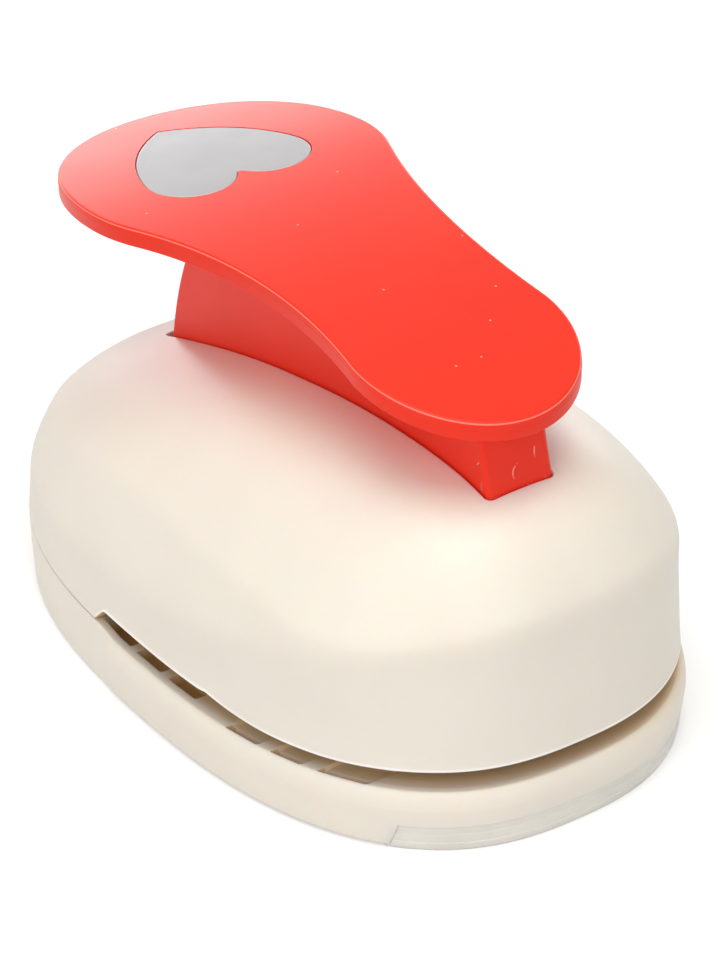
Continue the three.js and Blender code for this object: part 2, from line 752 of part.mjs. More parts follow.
// Punch carrier: a plate over a heart riser, with four spring towers
const riserInset = 2;
const carrierSide = 6;
const carrierSetback = 1;
const carrierHalfX = rearPostX + carrierSide;
const carrierFrontY = cutFrontY + carrierSetback;
const carrierBackY = rearPostY + towerRadius;
const towers = posts.map(({ x, y }) => drumZ(towerRadius, x, y, carrierBottomZ, towerTopZ));
const springPockets = posts.map(({ x, y }) => drumZ(
  pocketRadius,
  x,
  y,
  carrierBottomZ - overrun,
  towerTopZ - towerRoof,
));
const postBores = posts.map(({ x, y }) => drumZ(postRadius + run, x, y, carrierBottomZ, towerTopZ + overrun, 16));
const crossBar = block(
  [-frontPostX, frontPostX],
  [frontPostY - towerRadius, frontPostY + towerRadius],
  [carrierBottomZ, carrierTopZ],
);
piece('punch_carrier', cut(
  join(
    prismZ(roundedRectangle(carrierHalfX, carrierFrontY, carrierBackY, towerRadius), carrierBottomZ, carrierTopZ),
    crossBar,
    prismZ(heartOutline(cutWidth, cutFrontY, -riserInset), bladeTopZ + seat, carrierTopZ),
    ...towers,
  ),
  ...springPockets,
  ...postBores,
  ...bladeHoles,
), 'white');

// Wear plate under the roller
const wearHalfX = 10;
const wearHalfY = 10;
const wearCorner = 2;
piece('wear_plate', prismZ(
  roundedRectangle(wearHalfX, rollerY - wearHalfY, rollerY + wearHalfY, wearCorner, 3),
  wearBottomZ,
  wearTopZ,
), 'steel');

// Hinge brackets, pin and clips
const pinBore = drumX(pinRadius + run, pivotY, pivotZ, -plateSideX, plateSideX);
sides.forEach(([name, side]) => {
  const ear = prismX([
    [bracketFrontY, bracketBottomZ],
    [bracketBackY, bracketBottomZ],
    ...arc(pivotY, pivotZ, hingeBossRadius, 0, 180, 10),
  ], ...span(side, bracketInnerX, bracketOuterX));
  const flange = block(
    span(side, bracketInnerX, bracketOuterX + bracketFootX),
    [bracketFrontY, bracketBackY],
    [bracketBottomZ, bracketFootZ],
  );
  const holes = bracketScrews.map(({ x, y }) => screwHole(x, y, bracketBottomZ - overrun, bracketFootZ + overrun));
  piece(`hinge_bracket_${name}`, cut(join(ear, flange), pinBore, ...holes), 'steel');
});
bracketScrews.forEach(({ name, x, y }) => {
  piece(`bracket_screw_${name}`, screw(x, y, bracketFootZ + seat + headHeight, guideBottomZ + seat), 'steel');
});

const clipThickness = 1;
const clipWall = 2;
const pinOverhang = 1;
const clipInnerX = bracketOuterX + seat;
const pinHalfLength = clipInnerX + clipThickness + pinOverhang;
piece('hinge_pin', drumX(pinRadius, pivotY, pivotZ, -pinHalfLength, pinHalfLength), 'steel');
sides.forEach(([name, side]) => {
  const reach = span(side, clipInnerX, clipInnerX + clipThickness);
  piece(`hinge_clip_${name}`, cut(drumX(pinRadius + seat + clipWall, pivotY, pivotZ, ...reach), pinBore), 'spring');
});

// Lever plate outline, anticlockwise from the back tip: wide end, waist, narrow end, both ends oval
function leverOutline(inset) {
  const wide = wideRadius + waistRadius;
  const narrow = narrowRadius + waistRadius;
  const between = wideY - narrowY;
  const waistY = narrowY + (narrow ** 2 - wide ** 2 + between ** 2) / (2 * between);
  const waistX = Math.sqrt(wide ** 2 - (wideY - waistY) ** 2);
  const wideTurn = THREE.MathUtils.radToDeg(Math.atan2(waistY - wideY, waistX));
  const narrowTurn = THREE.MathUtils.radToDeg(Math.atan2(waistY - narrowY, waistX));
  const right = [
    ...arc(0, narrowY, narrowRadius - inset, -90, narrowTurn, 9).slice(0, -1),
    ...arc(waistX, waistY, waistRadius + inset, narrowTurn + 180, wideTurn + 180, 7).slice(0, -1),
    ...arc(0, wideY, wideRadius - inset, wideTurn, 90, 12),
  ].map(([x, y]) => {
    if (y > wideY) return [x, wideY + (y - wideY) * wideStretch];
    return [x, y < narrowY ? narrowY + (y - narrowY) * narrowStretch : y];
  });
  const left = right.slice(1, -1).reverse().map(([x, y]) => [-x, y]);
  return [right[right.length - 1], ...left, ...right.slice(0, -1)];
}

function leverTopAt(y) {
  return leverTopZ - (y - leverCrestY) ** 2 / (2 * leverBowRadius);
}

function leverSlab(rows) {
  return stack(rows.map(([inset, drop]) => leverOutline(inset).map(([x, y]) => [x, y, leverTopAt(y) - drop])), ribbonCap);
}

// Edge of the plate: a small bevel below and a rounded top
const edgeBevel = 0.7;
const edgeRound = 1.4;
const edgeSoft = 0.35;
const leverPlate = leverSlab([
  [edgeBevel, leverThickness],
  [0, leverThickness - edgeBevel],
  [0, edgeRound],
  [edgeSoft, edgeSoft],
  [edgeRound, 0],
]);

// Stem seen from the side, anticlockwise: front, bottom, back arc, top buried in the plate
const stemTopSteps = 5;
const stemFrontTopZ = leverTopAt(stemFrontY + stemFrontLean) - leverThickness / 2;
const stemLeanZ = stemFrontBottomZ + (stemFrontTopZ - stemFrontBottomZ) * stemLeanShare;

function stemProfile(inset) {
  const backRadius = stemBackRadius - inset;
  const buriedAt = (y) => leverTopAt(y) - leverThickness / 2;
  const lowTurn = THREE.MathUtils.radToDeg(Math.asin((stemBackBottomZ - pivotZ) / backRadius));
  const highTurn = THREE.MathUtils.radToDeg(Math.asin((buriedAt(wideY) - pivotZ) / backRadius));
  const back = arc(pivotY, pivotZ, backRadius, lowTurn, highTurn, 9);
  const backTopY = back[back.length - 1][0];
  const frontTopY = stemFrontY + stemFrontLean + inset;
  const top = [];
  for (let i = 1; i <= stemTopSteps; i += 1) {
    const y = backTopY + (frontTopY - backTopY) * i / stemTopSteps;
    top.push([y, buriedAt(y)]);
  }
  return [
    [stemFrontY + inset, stemFrontBottomZ],
    [pivotY - hingeBossRadius, pivotZ],
    [pivotY + hingeBossRadius, stemMiddleBottomZ],
    [rollerY + rollerBossRadius, stemMiddleBottomZ],
    ...back,
    ...top,
    [stemFrontY + inset, stemLeanZ],
  ];
}

function stemLayer(x, inset) {
  return stemProfile(inset).map(([y, z]) => [x, y, z]);
}

const cornerTurns = [0, 30, 60, 90].map((degrees) => THREE.MathUtils.degToRad(degrees));
const stemLayers = cornerTurns.map((turn) => [
  stemHalfWidth - stemCorner + stemCorner * Math.sin(turn),
  stemCorner * (1 - Math.cos(turn)),
]);
const stemRows = [
  ...stemLayers.slice().reverse().map(([x, inset]) => stemLayer(-x, inset)),
  ...stemLayers.map(([x, inset]) => stemLayer(x, inset)),
];
const stemInner = stemHalfWidth - stemWall;
const hollowTopZ = leverTopAt(stemFrontY) - leverThickness - stemWall;
const hollowLeanShare = (hollowTopZ - stemLeanZ) / (stemFrontTopZ - stemLeanZ);
const hollowTurn = THREE.MathUtils.radToDeg(Math.asin((hollowTopZ - pivotZ) / (stemBackRadius - stemWall)));
const hollow = prismX([
  [stemFrontY + stemWall, stemLeanZ],
  [stemFrontY + stemWall, 0],
  [rollerY + stemBackRadius, 0],
  ...arc(pivotY, pivotZ, stemBackRadius - stemWall, 0, hollowTurn, 6),
  [stemFrontY + stemWall + stemFrontLean * hollowLeanShare, hollowTopZ],
], -stemInner, stemInner);
const bushWall = 1.3;
const bushRadius = pinRadius + run + bushWall;
const decalOutline = heartOutline(decalWidth, decalFrontY);
const decalReach = leverTopZ + overrun;
const lever = cut(
  join(
    leverPlate,
    stack(stemRows, sideCap),
    drumX(hingeBossRadius, pivotY, pivotZ, -stemHalfWidth, stemHalfWidth),
    drumX(rollerBossRadius, rollerY, rollerZ, -stemHalfWidth, stemHalfWidth),
  ),
  hollow,
  drumX(bushRadius + seat, pivotY, pivotZ, -plateSideX, plateSideX),
  drumX(rollerPinRadius + seat, rollerY, rollerZ, -plateSideX, plateSideX, 16),
  prismZ(heartOutline(decalWidth, decalFrontY, seat), pivotZ, decalReach)
    .intersect(leverSlab([[0, decalThickness + seat], [0, -overrun]])),
);
piece('lever_arm', lever, 'red');
piece('heart_decal', prismZ(decalOutline, pivotZ, decalReach).intersect(leverSlab([[0, decalThickness], [0, 0]])), 'grey');

// Bushes in the lever's cheeks, the roller and its pin
sides.forEach(([name, side]) => {
  const bush = drumX(bushRadius, pivotY, pivotZ, ...span(side, stemInner, stemHalfWidth));
  piece(`hinge_bush_${name}`, cut(bush, pinBore), 'nylon');
});
piece('roller_pin', drumX(rollerPinRadius, rollerY, rollerZ, -stemHalfWidth, stemHalfWidth, 16), 'steel');
piece('press_roller', cut(
  drumX(rollerRadius, rollerY, rollerZ, run - stemInner, stemInner - run),
  drumX(rollerPinRadius + run, rollerY, rollerZ, -stemHalfWidth, stemHalfWidth, 16),
), 'steel');

export default punch;
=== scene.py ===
# Finished look of a lever craft punch, built around its packed parts.
# Metres. X is the width, the paper throat is at -Y and Z is up.
import json
import math

import bmesh
import bpy
import numpy as np
from bpy.props import FloatProperty, FloatVectorProperty, IntProperty, PointerProperty
from mathutils import Matrix, Vector


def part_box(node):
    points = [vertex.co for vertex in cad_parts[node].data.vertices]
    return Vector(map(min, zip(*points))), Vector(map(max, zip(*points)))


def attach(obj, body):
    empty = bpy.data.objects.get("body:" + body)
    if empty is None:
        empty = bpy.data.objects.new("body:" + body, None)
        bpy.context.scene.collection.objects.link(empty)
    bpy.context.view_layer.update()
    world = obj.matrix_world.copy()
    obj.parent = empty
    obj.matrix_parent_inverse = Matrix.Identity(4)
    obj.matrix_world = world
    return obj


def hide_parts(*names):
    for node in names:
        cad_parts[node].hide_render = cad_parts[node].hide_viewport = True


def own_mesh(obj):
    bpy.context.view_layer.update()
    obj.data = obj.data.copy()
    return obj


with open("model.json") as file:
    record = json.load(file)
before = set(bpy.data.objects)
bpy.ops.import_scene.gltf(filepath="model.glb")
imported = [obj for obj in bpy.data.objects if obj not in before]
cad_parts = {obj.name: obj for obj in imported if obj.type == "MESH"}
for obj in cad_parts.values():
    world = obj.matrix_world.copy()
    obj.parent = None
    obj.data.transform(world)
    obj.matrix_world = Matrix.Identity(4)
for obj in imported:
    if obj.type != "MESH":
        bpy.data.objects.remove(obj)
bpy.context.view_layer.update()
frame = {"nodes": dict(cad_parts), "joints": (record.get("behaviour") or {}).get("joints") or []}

bl_info = {
    "name": "Heart Craft Punch",
    "version": (1, 0, 0),
    "blender": (4, 5, 0),
    "location": "View3D > Sidebar > Punch",
    "description": "Builds the finished surfaces of a lever punch around its packed parts",
    "category": "Object",
}

JOINTS = {joint["name"]: joint for joint in frame["joints"]}
PIVOT = Vector(JOINTS["lever_hinge"]["pos_m"])
ROLLER = sum(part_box("press_roller"), Vector()) / 2
HALF_LENGTH = 0.095
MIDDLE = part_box("upper_housing")[1].y - HALF_LENGTH
OVERRUN = 0.003
GAP = 0.0003

# Pivot and roller of the lever, measured from the body's middle.
PIVOT_Y, PIVOT_Z = PIVOT.y - MIDDLE, PIVOT.z
ROLLER_Y, ROLLER_Z = ROLLER.y - MIDDLE, ROLLER.z

# Counts of points, steps and sides, the distance in metres up to which two points are one,
# and the angles in degrees up to which shading stays smooth.
OUTLINE_POINTS = 8001
CORNER_STEPS = 6
HEART_STEPS = 24
NOTCH_STEPS = 4
DRUM_SIDES = 40
PIN_SIDES = 64
FOOT_SIDES = 48
BLOCK_SIDES = 240
SAME_PLACE = 1e-7
CURVED_ANGLE = 40
PLAIN_ANGLE = 35
LEVER_ANGLE = 30
WIRE_ANGLE = 50


def length(name, default, description):
    """A size in metres for a property group."""
    return FloatProperty(name=name, description=description, default=default, unit="LENGTH", precision=5)


def share(name, default, description):
    """A plain number for a property group."""
    return FloatProperty(name=name, description=description, default=default, precision=4)


def colour(name, default, description):
    """A linear colour for a property group."""
    return FloatVectorProperty(
        name=name, description=description, default=default, size=3, subtype="COLOR", min=0, max=1
    )


class BodySizes(bpy.types.PropertyGroup):
    """Outline, walls and dome of the cream housing"""

    half_length: length("Half length", HALF_LENGTH, "Half the body's length")
    half_width: length("Half width", 0.0609, "Half the body's width")
    power: share("Outline power", 2.5, "Squareness of the body's outline")
    seam: length("Seam", 0.0181, "Height of the seam behind the throat")
    throat: length("Throat", 0.02275, "Height of the housing's edge over the throat")
    lift: length("Lift", 0.0005, "Small rise of that edge in front")
    lift_place: length("Lift place", -0.029, "Where the small rise is")
    fall: length("Fall", 0.0021, "How far the throat's edge falls in front of that rise")
    fall_length: length("Fall length", 0.026, "Length over which it falls")
    mouth: length("Mouth", 0.0008, "How far the edge rises again towards the front")
    mouth_place: length("Mouth place", -0.062, "Where it starts to rise again")
    mouth_length: length("Mouth length", 0.026, "Length over which it rises")
    notch: length("Notch", 0.0176, "Where the throat starts at the seam")
    notch_radius: length("Notch radius", 0.0026, "Round at the top of the throat's end")
    wall: length("Wall", 0.0025, "Thickness of the housing")
    draft: length("Draft", 0.001, "Lean of the wall up to the shoulder")
    edge: length("Edge", 0.0004, "Round on the housing's edges")
    # The face rows up to this height over the throat's edge carry a painted highlight.
    highlight_height: length("Edge line", 0.00045, "Height of the polished line over the throat")
    shoulder_height: length("Shoulder", 0.0349, "Height of the shoulder at the middle")
    shoulder_rake: length("Shoulder rake", 0.0125, "Fall of the shoulder towards the back")
    shoulder_bow: length("Shoulder bow", 0.0078, "Rise of the shoulder at both ends")
    shoulder_round: length("Shoulder round", 0.0012, "Spread of the soft shoulder and of the crease")
    crease_depth: length("Crease depth", 0.0008, "How far the surface stands out along the crease")
    crease_width: length("Crease width", 0.011, "Width of that swelling on both sides of the crease")
    crown_height: length("Crown", 0.0751, "Height of the dome at the middle")
    crown_rake: length("Crown rake", 0.0186, "Fall of the crown towards the back")
    crown_bow: length("Crown bow", 0.0029, "Bow of the crown")
    crown_twist: length("Crown twist", -0.0019, "Cubic part of the crown line")
    crown_ends: length("Crown ends", 0.0286, "Rise of the crown line at its ends")
    crown_power: share("Crown power", 2.874, "Fullness of the dome")
    crown_softness: share("Crown softness", 1.3245, "How soon the dome leaves the shoulder")
    columns: IntProperty(name="Columns", description="Faces round the housing", default=440, min=80)


class TraySizes(bpy.types.PropertyGroup):
    """Lip, ledge and pockets of the base"""

    ledge: length("Ledge", 0.0165, "Height of the ledge under the paper")
    lip: length("Lip", 0.0013, "How far the front stands out")
    lip_inward: length("Lip inward", 0.0006, "How far the lip's round runs in over the ledge")
    edge_height: length("Edge height", 0.0115, "Where the soft edge starts")
    draft: length("Draft", 0.0004, "Lean of the wall")
    chamfer: length("Chamfer", 0.0006, "Bevel at the foot")
    floor_gap: length("Floor gap", 0.0006, "Gap under the base")
    blend: length("Blend", 0.01, "Length over which the lip grows")
    wall: length("Wall", 0.004, "Thickness of the outer wall")
    deck: length("Deck", 0.0124, "Underside of the deck")
    bed: length("Bed", 0.0154, "Floor of the recess for the die plate")
    pocket_width: length("Pocket width", 0.005, "Width of the cored pockets")
    deep_inset: length("Deep inset", 0.0024, "Wall outside the deep pockets")
    deep_depth: length("Deep depth", 0.0034, "Depth of the deep pockets")
    shallow_inset: length("Shallow inset", 0.0005, "Wall outside the shallow pockets")
    shallow_depth: length("Shallow depth", 0.001, "Depth of the shallow pockets")
    shallow_width: length("Shallow width", 0.0074, "Width of the shallow pockets")
    gutter_depth: length("Gutter depth", 0.0026, "Depth of the groove along a shallow pocket's outer wall")
    gutter_width: length("Gutter width", 0.0022, "Width of that groove")
    pocket_corner: length("Pocket corner", 0.0007, "Corner radius of the pockets")
    pocket_edge: length("Pocket edge", 0.0002, "Round on the pockets' rims")
    grip_height: length("Grip height", 0.007, "Height of the soft front strip")
    grip_half: length("Grip half width", 0.0405, "Half the width of the front strip")
    grip_wall: length("Grip wall", 0.0015, "Thickness of the front strip")
    grip_flange: length("Grip flange", 0.007, "Depth of the strip's sole")
    grip_splay: share("Grip splay", 0.03, "How much wider the strip is at its foot")
    grip_step: length("Grip step", 0.00015, "Depth of each step along the strip")
    pocket_draft: length("Pocket draft", 0.0003, "Lean of the pockets' walls")


class LeverSizes(bpy.types.PropertyGroup):
    """Plate and stem of the red lever"""

    top: length("Top", 0.11115, "Height of the plate's crest")
    crest: length("Crest", 0.00844, "Where the crest is")
    bow: length("Bow", 0.3447, "Radius of the plate's bow")
    thickness: length("Thickness", 0.0047, "Thickness of the plate")
    wide_radius: length("Wide radius", 0.039, "Radius of the wide end")
    wide_stretch: share("Wide stretch", 1.22, "How much longer than round the wide end is")
    wide_place: length("Wide place", 0.0451, "Centre of the wide end")
    narrow_radius: length("Narrow radius", 0.02705, "Radius of the narrow end")
    narrow_stretch: share("Narrow stretch", 1.11, "How much longer than round the narrow end is")
    narrow_place: length("Narrow place", -0.04784, "Centre of the narrow end")
    waist_radius: length("Waist radius", 0.1459, "Radius of the waist")
    edge_top: length("Top edge", 0.0009, "Round on the plate's upper edge")
    edge_low: length("Lower edge", 0.0004, "Round on the plate's lower edge")
    parting: length("Parting line", 0.00006, "Height of the fine line on the plate's edge")
    parting_drop: length("Parting drop", 0.0017, "How far the fine line lies below the top")
    stem_half: length("Stem half width", 0.00905, "Half the stem's width")
    stem_corner: length("Stem corner", 0.0014, "Radius of the stem's corners")
    stem_wall: length("Stem wall", 0.0025, "Thickness of the stem")
    stem_front: length("Stem front", -0.0724, "Front face of the stem")
    stem_lean: length("Stem lean", 0.005, "Lean of the front face")
    stem_lean_share: share("Lean share", 0.4252, "Where the front face starts to lean, from its foot up")
    stem_front_low: length("Stem front low", 0.064, "Lower end of the front face")
    stem_back_low: length("Stem back low", 0.05, "Lower end of the back face")
    stem_middle_low: length("Stem middle low", 0.046, "Underside of the stem")
    stem_back: length("Stem back", 0.105, "Radius of the back face about the pivot")
    boss_radius: length("Boss radius", 0.008, "Radius of the hinge boss")
    nose_radius: length("Nose radius", 0.0045, "Radius of the roller boss")
    slot_gap: length("Slot gap", 0.00035, "Gap beside the stem")
    slot_front: length("Slot front", 0.0004, "Gap before the stem")
    slot_back: length("Slot back", 0.0027, "Gap behind the stem")
    slot_level: length("Slot level", 0.057, "Height at which the back gap is set")
    inlay_width: length("Inlay width", 0.0432, "Width of the heart")
    inlay_setback: length("Inlay setback", 0.0099, "From the wide end's centre to the heart's lobes")
    inlay_depth: length("Inlay depth", 0.0012, "Thickness of the heart")
    inlay_edge: length("Inlay edge", 0.00045, "Bevel round the heart")
    inlay_gap: length("Inlay gap", 0.0002, "Gap round the heart")


class DieSizes(bpy.types.PropertyGroup):
    """Cut heart, plates and springs"""

    cut_width: length("Cut width", 0.076, "Width of the cut heart")
    cut_front: length("Cut front", -0.034, "Front of the cut heart")
    chute_gap: length("Chute gap", 0.0012, "Room round the heart in the base")
    nose_across: length("Nose across", 0.036, "Half width of the plates' front edge")
    plate_front: length("Plate front", -0.058, "Front edge of the plates")
    side_across: length("Side across", 0.05, "Half width of the plates")
    nose_along: length("Nose along", -0.04, "Where the plates reach their full width")
    side_along: length("Side along", 0.002, "Where the plates start to narrow")
    rear_across: length("Rear across", 0.04, "Half width of the plates' back")
    taper_along: length("Taper along", 0.016, "Where the narrow back starts")
    plate_rear: length("Plate rear", 0.062, "Back edge of the plates")
    wire: length("Wire radius", 0.0006, "Radius of the springs' wire")
    coil: length("Coil radius", 0.0042, "Radius of the springs")
    turns: IntProperty(name="Turns", description="Turns of each spring", default=5, min=1)


class ScrewSizes(bpy.types.PropertyGroup):
    """Screws and the bosses round them"""

    shank: length("Shank radius", 0.0016, "Radius of the screws' shanks")
    head: length("Head radius", 0.003, "Radius of the screws' heads")
    head_height: length("Head height", 0.002, "Height of the screws' heads")
    case_boss: length("Housing boss", 0.0045, "Radius of the housing's bosses")
    tray_boss: length("Base boss", 0.005, "Radius of the base's bosses")
    foot_boss: length("Foot boss", 0.008, "Radius of the bosses over the feet")


class PunchFinishes(bpy.types.PropertyGroup):
    """Colours of the finishes, as linear values"""

    cream: colour("Cream", (0.895, 0.825, 0.712), "Moulded cover and base")
    # Painted shade under the housing's edge, where behind the throat it also darkens the seam, and on the
    # shallow pockets' outer walls.
    shade: colour("Shade", (0.6, 0.36, 0.15), "Underside of the housing and walls of the shallow pockets")
    # Painted shade: warm tan inside the throat and at the top of the deep pockets and grooves.
    inside: colour("Inside", (0.86, 0.64, 0.36), "Cream inside the throat and at the pockets' top")
    # Painted shade at the foot of the deep pockets and of the grooves.
    pocket: colour("Pocket", (0.6, 0.38, 0.15), "Foot of the deep pockets and of the grooves")
    # Painted highlight along the throat's edge and on the deep pockets' rims.
    line: colour("Line", (1.0, 0.97, 0.92), "Polished edge over the throat")
    red: colour("Red", (0.92, 0.036, 0.013), "Moulded lever")
    # Painted highlight along the middle of the lever's upper round edge.
    rim: colour("Rim", (1.0, 0.19, 0.13), "Worn edges of the lever")
    fleck: colour("Fleck", (1.0, 0.75, 0.68), "Flecks and scuffs on the lever")
    grey: colour("Grey", (0.41, 0.4, 0.41), "Printed heart")
    # Painted highlight on the bevel round the heart.
    bevel_highlight_grey: colour("Grey rim", (0.62, 0.61, 0.62), "Bevel round the printed heart")
    vinyl: colour("Vinyl", (0.83, 0.81, 0.73), "Front strip")
    rubber: colour("Rubber", (0.045, 0.045, 0.045), "Rear feet")
    steel: colour("Steel", (0.56, 0.57, 0.58), "Plates, posts and pins")
    zinc: colour("Zinc", (0.62, 0.61, 0.58), "Screws")
    wire: colour("Wire", (0.42, 0.43, 0.45), "Springs and clips")
    white: colour("White", (0.74, 0.74, 0.71), "Punch carrier")
    nylon: colour("Nylon", (0.7, 0.66, 0.56), "Bushes")


class StageSettings(bpy.types.PropertyGroup):
    """Camera, floor and lights"""

    azimuth: share("Azimuth", -33.3056, "Turn of the camera round the punch, in degrees")
    elevation: share("Elevation", 32.227, "Height of the camera above the floor, in degrees")
    roll: share("Roll", -1.6143, "Tilt of the picture, in degrees")
    distance: length("Distance", 1.1014, "From the camera to the target")
    target_height: length("Target height", 0.05, "Height of the point that is looked at")
    lens: share("Lens", 173.33, "Focal length in millimetres")
    shift_x: share("Shift X", 0.01793, "Sideways shift of the picture")
    shift_y: share("Shift Y", -0.02367, "Upward shift of the picture")
    sky: share("Sky", 0.32, "Level of the even light")
    above: share("Above", 13.2, "Power of the lamp above, in watts")
    left: share("Left", 5.8, "Power of the lamp on the left, in watts")
    front: share("Front", 4.3, "Power of the lamp in front, in watts")
    corner: share("Corner", 2.2, "Power of the small lamp before the left corner, in watts")
    sheen: share("Sheen", 9.2, "Power of the low lamp behind that only shows as gloss, in watts")
    glow: share("Glow", 0.33, "Brightness that the camera sees in the floor besides the light on it")
    far_glow: share("Far glow", 0.3, "What is added to that brightness far from the punch")
    far_reach: length("Far reach", 0.5, "Distance at which all of it is added")
    glow_reach: share("Glow reach", 0.96, "Where that brightness starts, as a share of the base's outline")


# Outlines


def body_point(turn, inset, body):
    """Plan point of the body outline; a turn of 0 is the back, pi is the front."""
    sine, cosine = np.sin(turn), np.cos(turn)
    x = -np.sign(sine) * np.abs(sine) ** (2 / body.power) * (body.half_width - inset)
    y = np.sign(cosine) * np.abs(cosine) ** (2 / body.power) * (body.half_length - inset)
    return x, y


def turn_at(y, body):
    """Turn of the outline's left half at a place along the body."""
    ratio = np.clip(y / body.half_length, -1, 1)
    return np.arccos(np.sign(ratio) * np.abs(ratio) ** (body.power / 2))


def half_width_at(y, inset, body):
    """Half width of the outline at a place along the body."""
    ratio = np.clip(np.abs(y) / (body.half_length - inset), 0, 1)
    return (body.half_width - inset) * (1 - ratio**body.power) ** (1 / body.power)


def half_length_at(x, inset, body):
    """Half length of the outline at a place across the body."""
    ratio = np.clip(np.abs(x) / (body.half_width - inset), 0, 1)
    return (body.half_length - inset) * (1 - ratio**body.power) ** (1 / body.power)


def after(start, end, count):
    """Even places from a start, which is left out, to an end."""
    return np.linspace(start, end, count + 1)[1:]


def reaches(points):
    """Distance from the start of a line to each of its points."""
    return np.concatenate([[0], np.cumsum(np.linalg.norm(np.diff(points, axis=0), axis=1))])


def along_line(points, places):
    """Points at given distances along a line."""
    reach = reaches(points)
    return np.column_stack([np.interp(places, reach, column) for column in points.T])


def body_ring(turns, inset, heights, body):
    """Points over the body's outline at given heights."""
    return np.column_stack([*body_point(turns, inset, body), heights])


def outline_reach(end, body):
    """Distance from the back along the outline as far as a turn, and the turns there."""
    dense = np.linspace(0, end, OUTLINE_POINTS)
    return reaches(np.column_stack(body_point(dense, 0, body))), dense


def even_turns(count, body):
    """Turns that step evenly round the whole outline, from the back."""
    reach, dense = outline_reach(2 * math.pi, body)
    return np.interp(np.linspace(0, reach[-1], count, endpoint=False), reach, dense)


def arc(centre, radius, start, end, steps):
    """Points of an arc, from one angle to another in degrees."""
    angles = np.radians(np.linspace(start, end, steps + 1))
    return [(centre[0] + radius * math.cos(a), centre[1] + radius * math.sin(a)) for a in angles]


def circle(x, y, radius, sides):
    """Points of a full circle."""
    return arc((x, y), radius, 0, 360, sides)[:-1]


def rounded_rectangle(low, high, radius):
    """Anticlockwise outline between two corners."""
    left, right = low[0] + radius, high[0] - radius
    near, far = low[1] + radius, high[1] - radius
    corners = ((right, far), (left, far), (left, near), (right, near))
    return [
        point
        for quarter, corner in enumerate(corners)
        for point in arc(corner, radius, 90 * quarter, 90 * quarter + 90, CORNER_STEPS)
    ]


LOBE_RADIUS_SHARE = 0.255
LOBE_SHIFT_SHARE = 0.245
NOTCH_RADIUS_SHARE = 0.024
HEART_LENGTH_SHARE = 0.743
LOBE_TANGENT = 12


def heart_outline(width, front, grow):
    """Heart with its tip to the back and its lobes touching front, grown by a margin."""
    radius, shift = width * LOBE_RADIUS_SHARE, width * LOBE_SHIFT_SHARE
    lobe = front + radius
    tip = lobe + width * HEART_LENGTH_SHARE
    tangent = math.radians(LOBE_TANGENT)
    touch_x = shift + radius * math.cos(tangent)
    touch_y = lobe + radius * math.sin(tangent)
    reach = touch_x * math.cos(tangent) - (tip - touch_y) * math.sin(tangent)
    side_radius = (touch_x**2 + (tip - touch_y) ** 2) / (2 * reach)
    side_x = touch_x - side_radius * math.cos(tangent)
    side_y = touch_y - side_radius * math.sin(tangent)
    outer = side_radius + grow
    tip_angle = math.degrees(math.acos(-side_x / outer))
    notch = width * NOTCH_RADIUS_SHARE
    drop = math.sqrt((radius + notch) ** 2 - shift**2)
    notch_angle = math.degrees(math.atan2(drop, shift))
    right = (
        arc((0, lobe - drop), notch - grow, 90, notch_angle, NOTCH_STEPS)
        + arc((shift, lobe), radius + grow, notch_angle - 180, LOBE_TANGENT, 2 * HEART_STEPS)[1:]
        + arc((side_x, side_y), outer, LOBE_TANGENT, tip_angle, HEART_STEPS)[1:]
    )
    return right + [(-x, y) for x, y in right[-2:0:-1]]


# Meshes


def loft(rings, closed=False):
    """Points and faces of rings with equal counts, each joined to the next."""
    rings = np.asarray(rings, float)
    levels, count = rings.shape[:2]
    faces = []
    for level in range(levels if closed else levels - 1):
        low, high = level * count, (level + 1) % levels * count
        for i in range(count):
            j = (i + 1) % count
            faces.append((low + i, low + j, high + j, high + i))
    return rings.reshape(-1, 3), faces


def ribbon(count, offset=0):
    """Cap of a ring that is mirrored about X and starts at its back tip."""
    faces = [(0, 1, count - 1)]
    faces += [(i, i + 1, count - i - 1, count - i) for i in range(1, count // 2 - 1)]
    faces.append((count // 2 - 1, count // 2, count // 2 + 1))
    return [tuple(offset + i for i in face) for face in faces]


def disc(count, offset=0):
    """Cap of a ring as one face."""
    return [tuple(offset + i for i in range(count))]


def capped(rings, cap):
    """Closed loft with the same kind of cap on its first and last ring."""
    points, faces = loft(rings)
    count = len(rings[0])
    return points, faces + cap(count) + cap(count, (len(rings) - 1) * count)


def prism(outline, low, high):
    """Closed upright prism on a plan outline."""
    return capped([[(x, y, z) for x, y in outline] for z in (low, high)], disc)


def prism_across(outline, half):
    """Closed prism along X on a side outline, equally far to both sides."""
    return capped([[(x, y, z) for y, z in outline] for x in (-half, half)], disc)


def ring_faces(levels, columns, count):
    """Numbers of a loft's faces at some of its levels and columns."""
    return [level * count + i for level in levels for i in columns]


def merged(*meshes):
    """Several closed meshes as one list of points and faces."""
    points, faces = [], []
    for more_points, more_faces in meshes:
        faces += [tuple(len(points) + i for i in face) for face in more_faces]
        points += [tuple(p) for p in more_points]
    return points, faces


def raw_object(name, mesh_data):
    """Object from points and faces, moved to the body's middle, with its faces outward."""
    points, faces = mesh_data
    mesh = bpy.data.meshes.new(name)
    mesh.from_pydata([(x, y + MIDDLE, z) for x, y, z in points], [], faces)
    piece = bpy.data.objects.new(name, mesh)
    bpy.context.scene.collection.objects.link(piece)
    bm = bmesh.new()
    bm.from_mesh(mesh)
    bmesh.ops.remove_doubles(bm, verts=bm.verts, dist=SAME_PLACE)
    bmesh.ops.recalc_face_normals(bm, faces=bm.faces)
    bm.to_mesh(mesh)
    bm.free()
    return piece


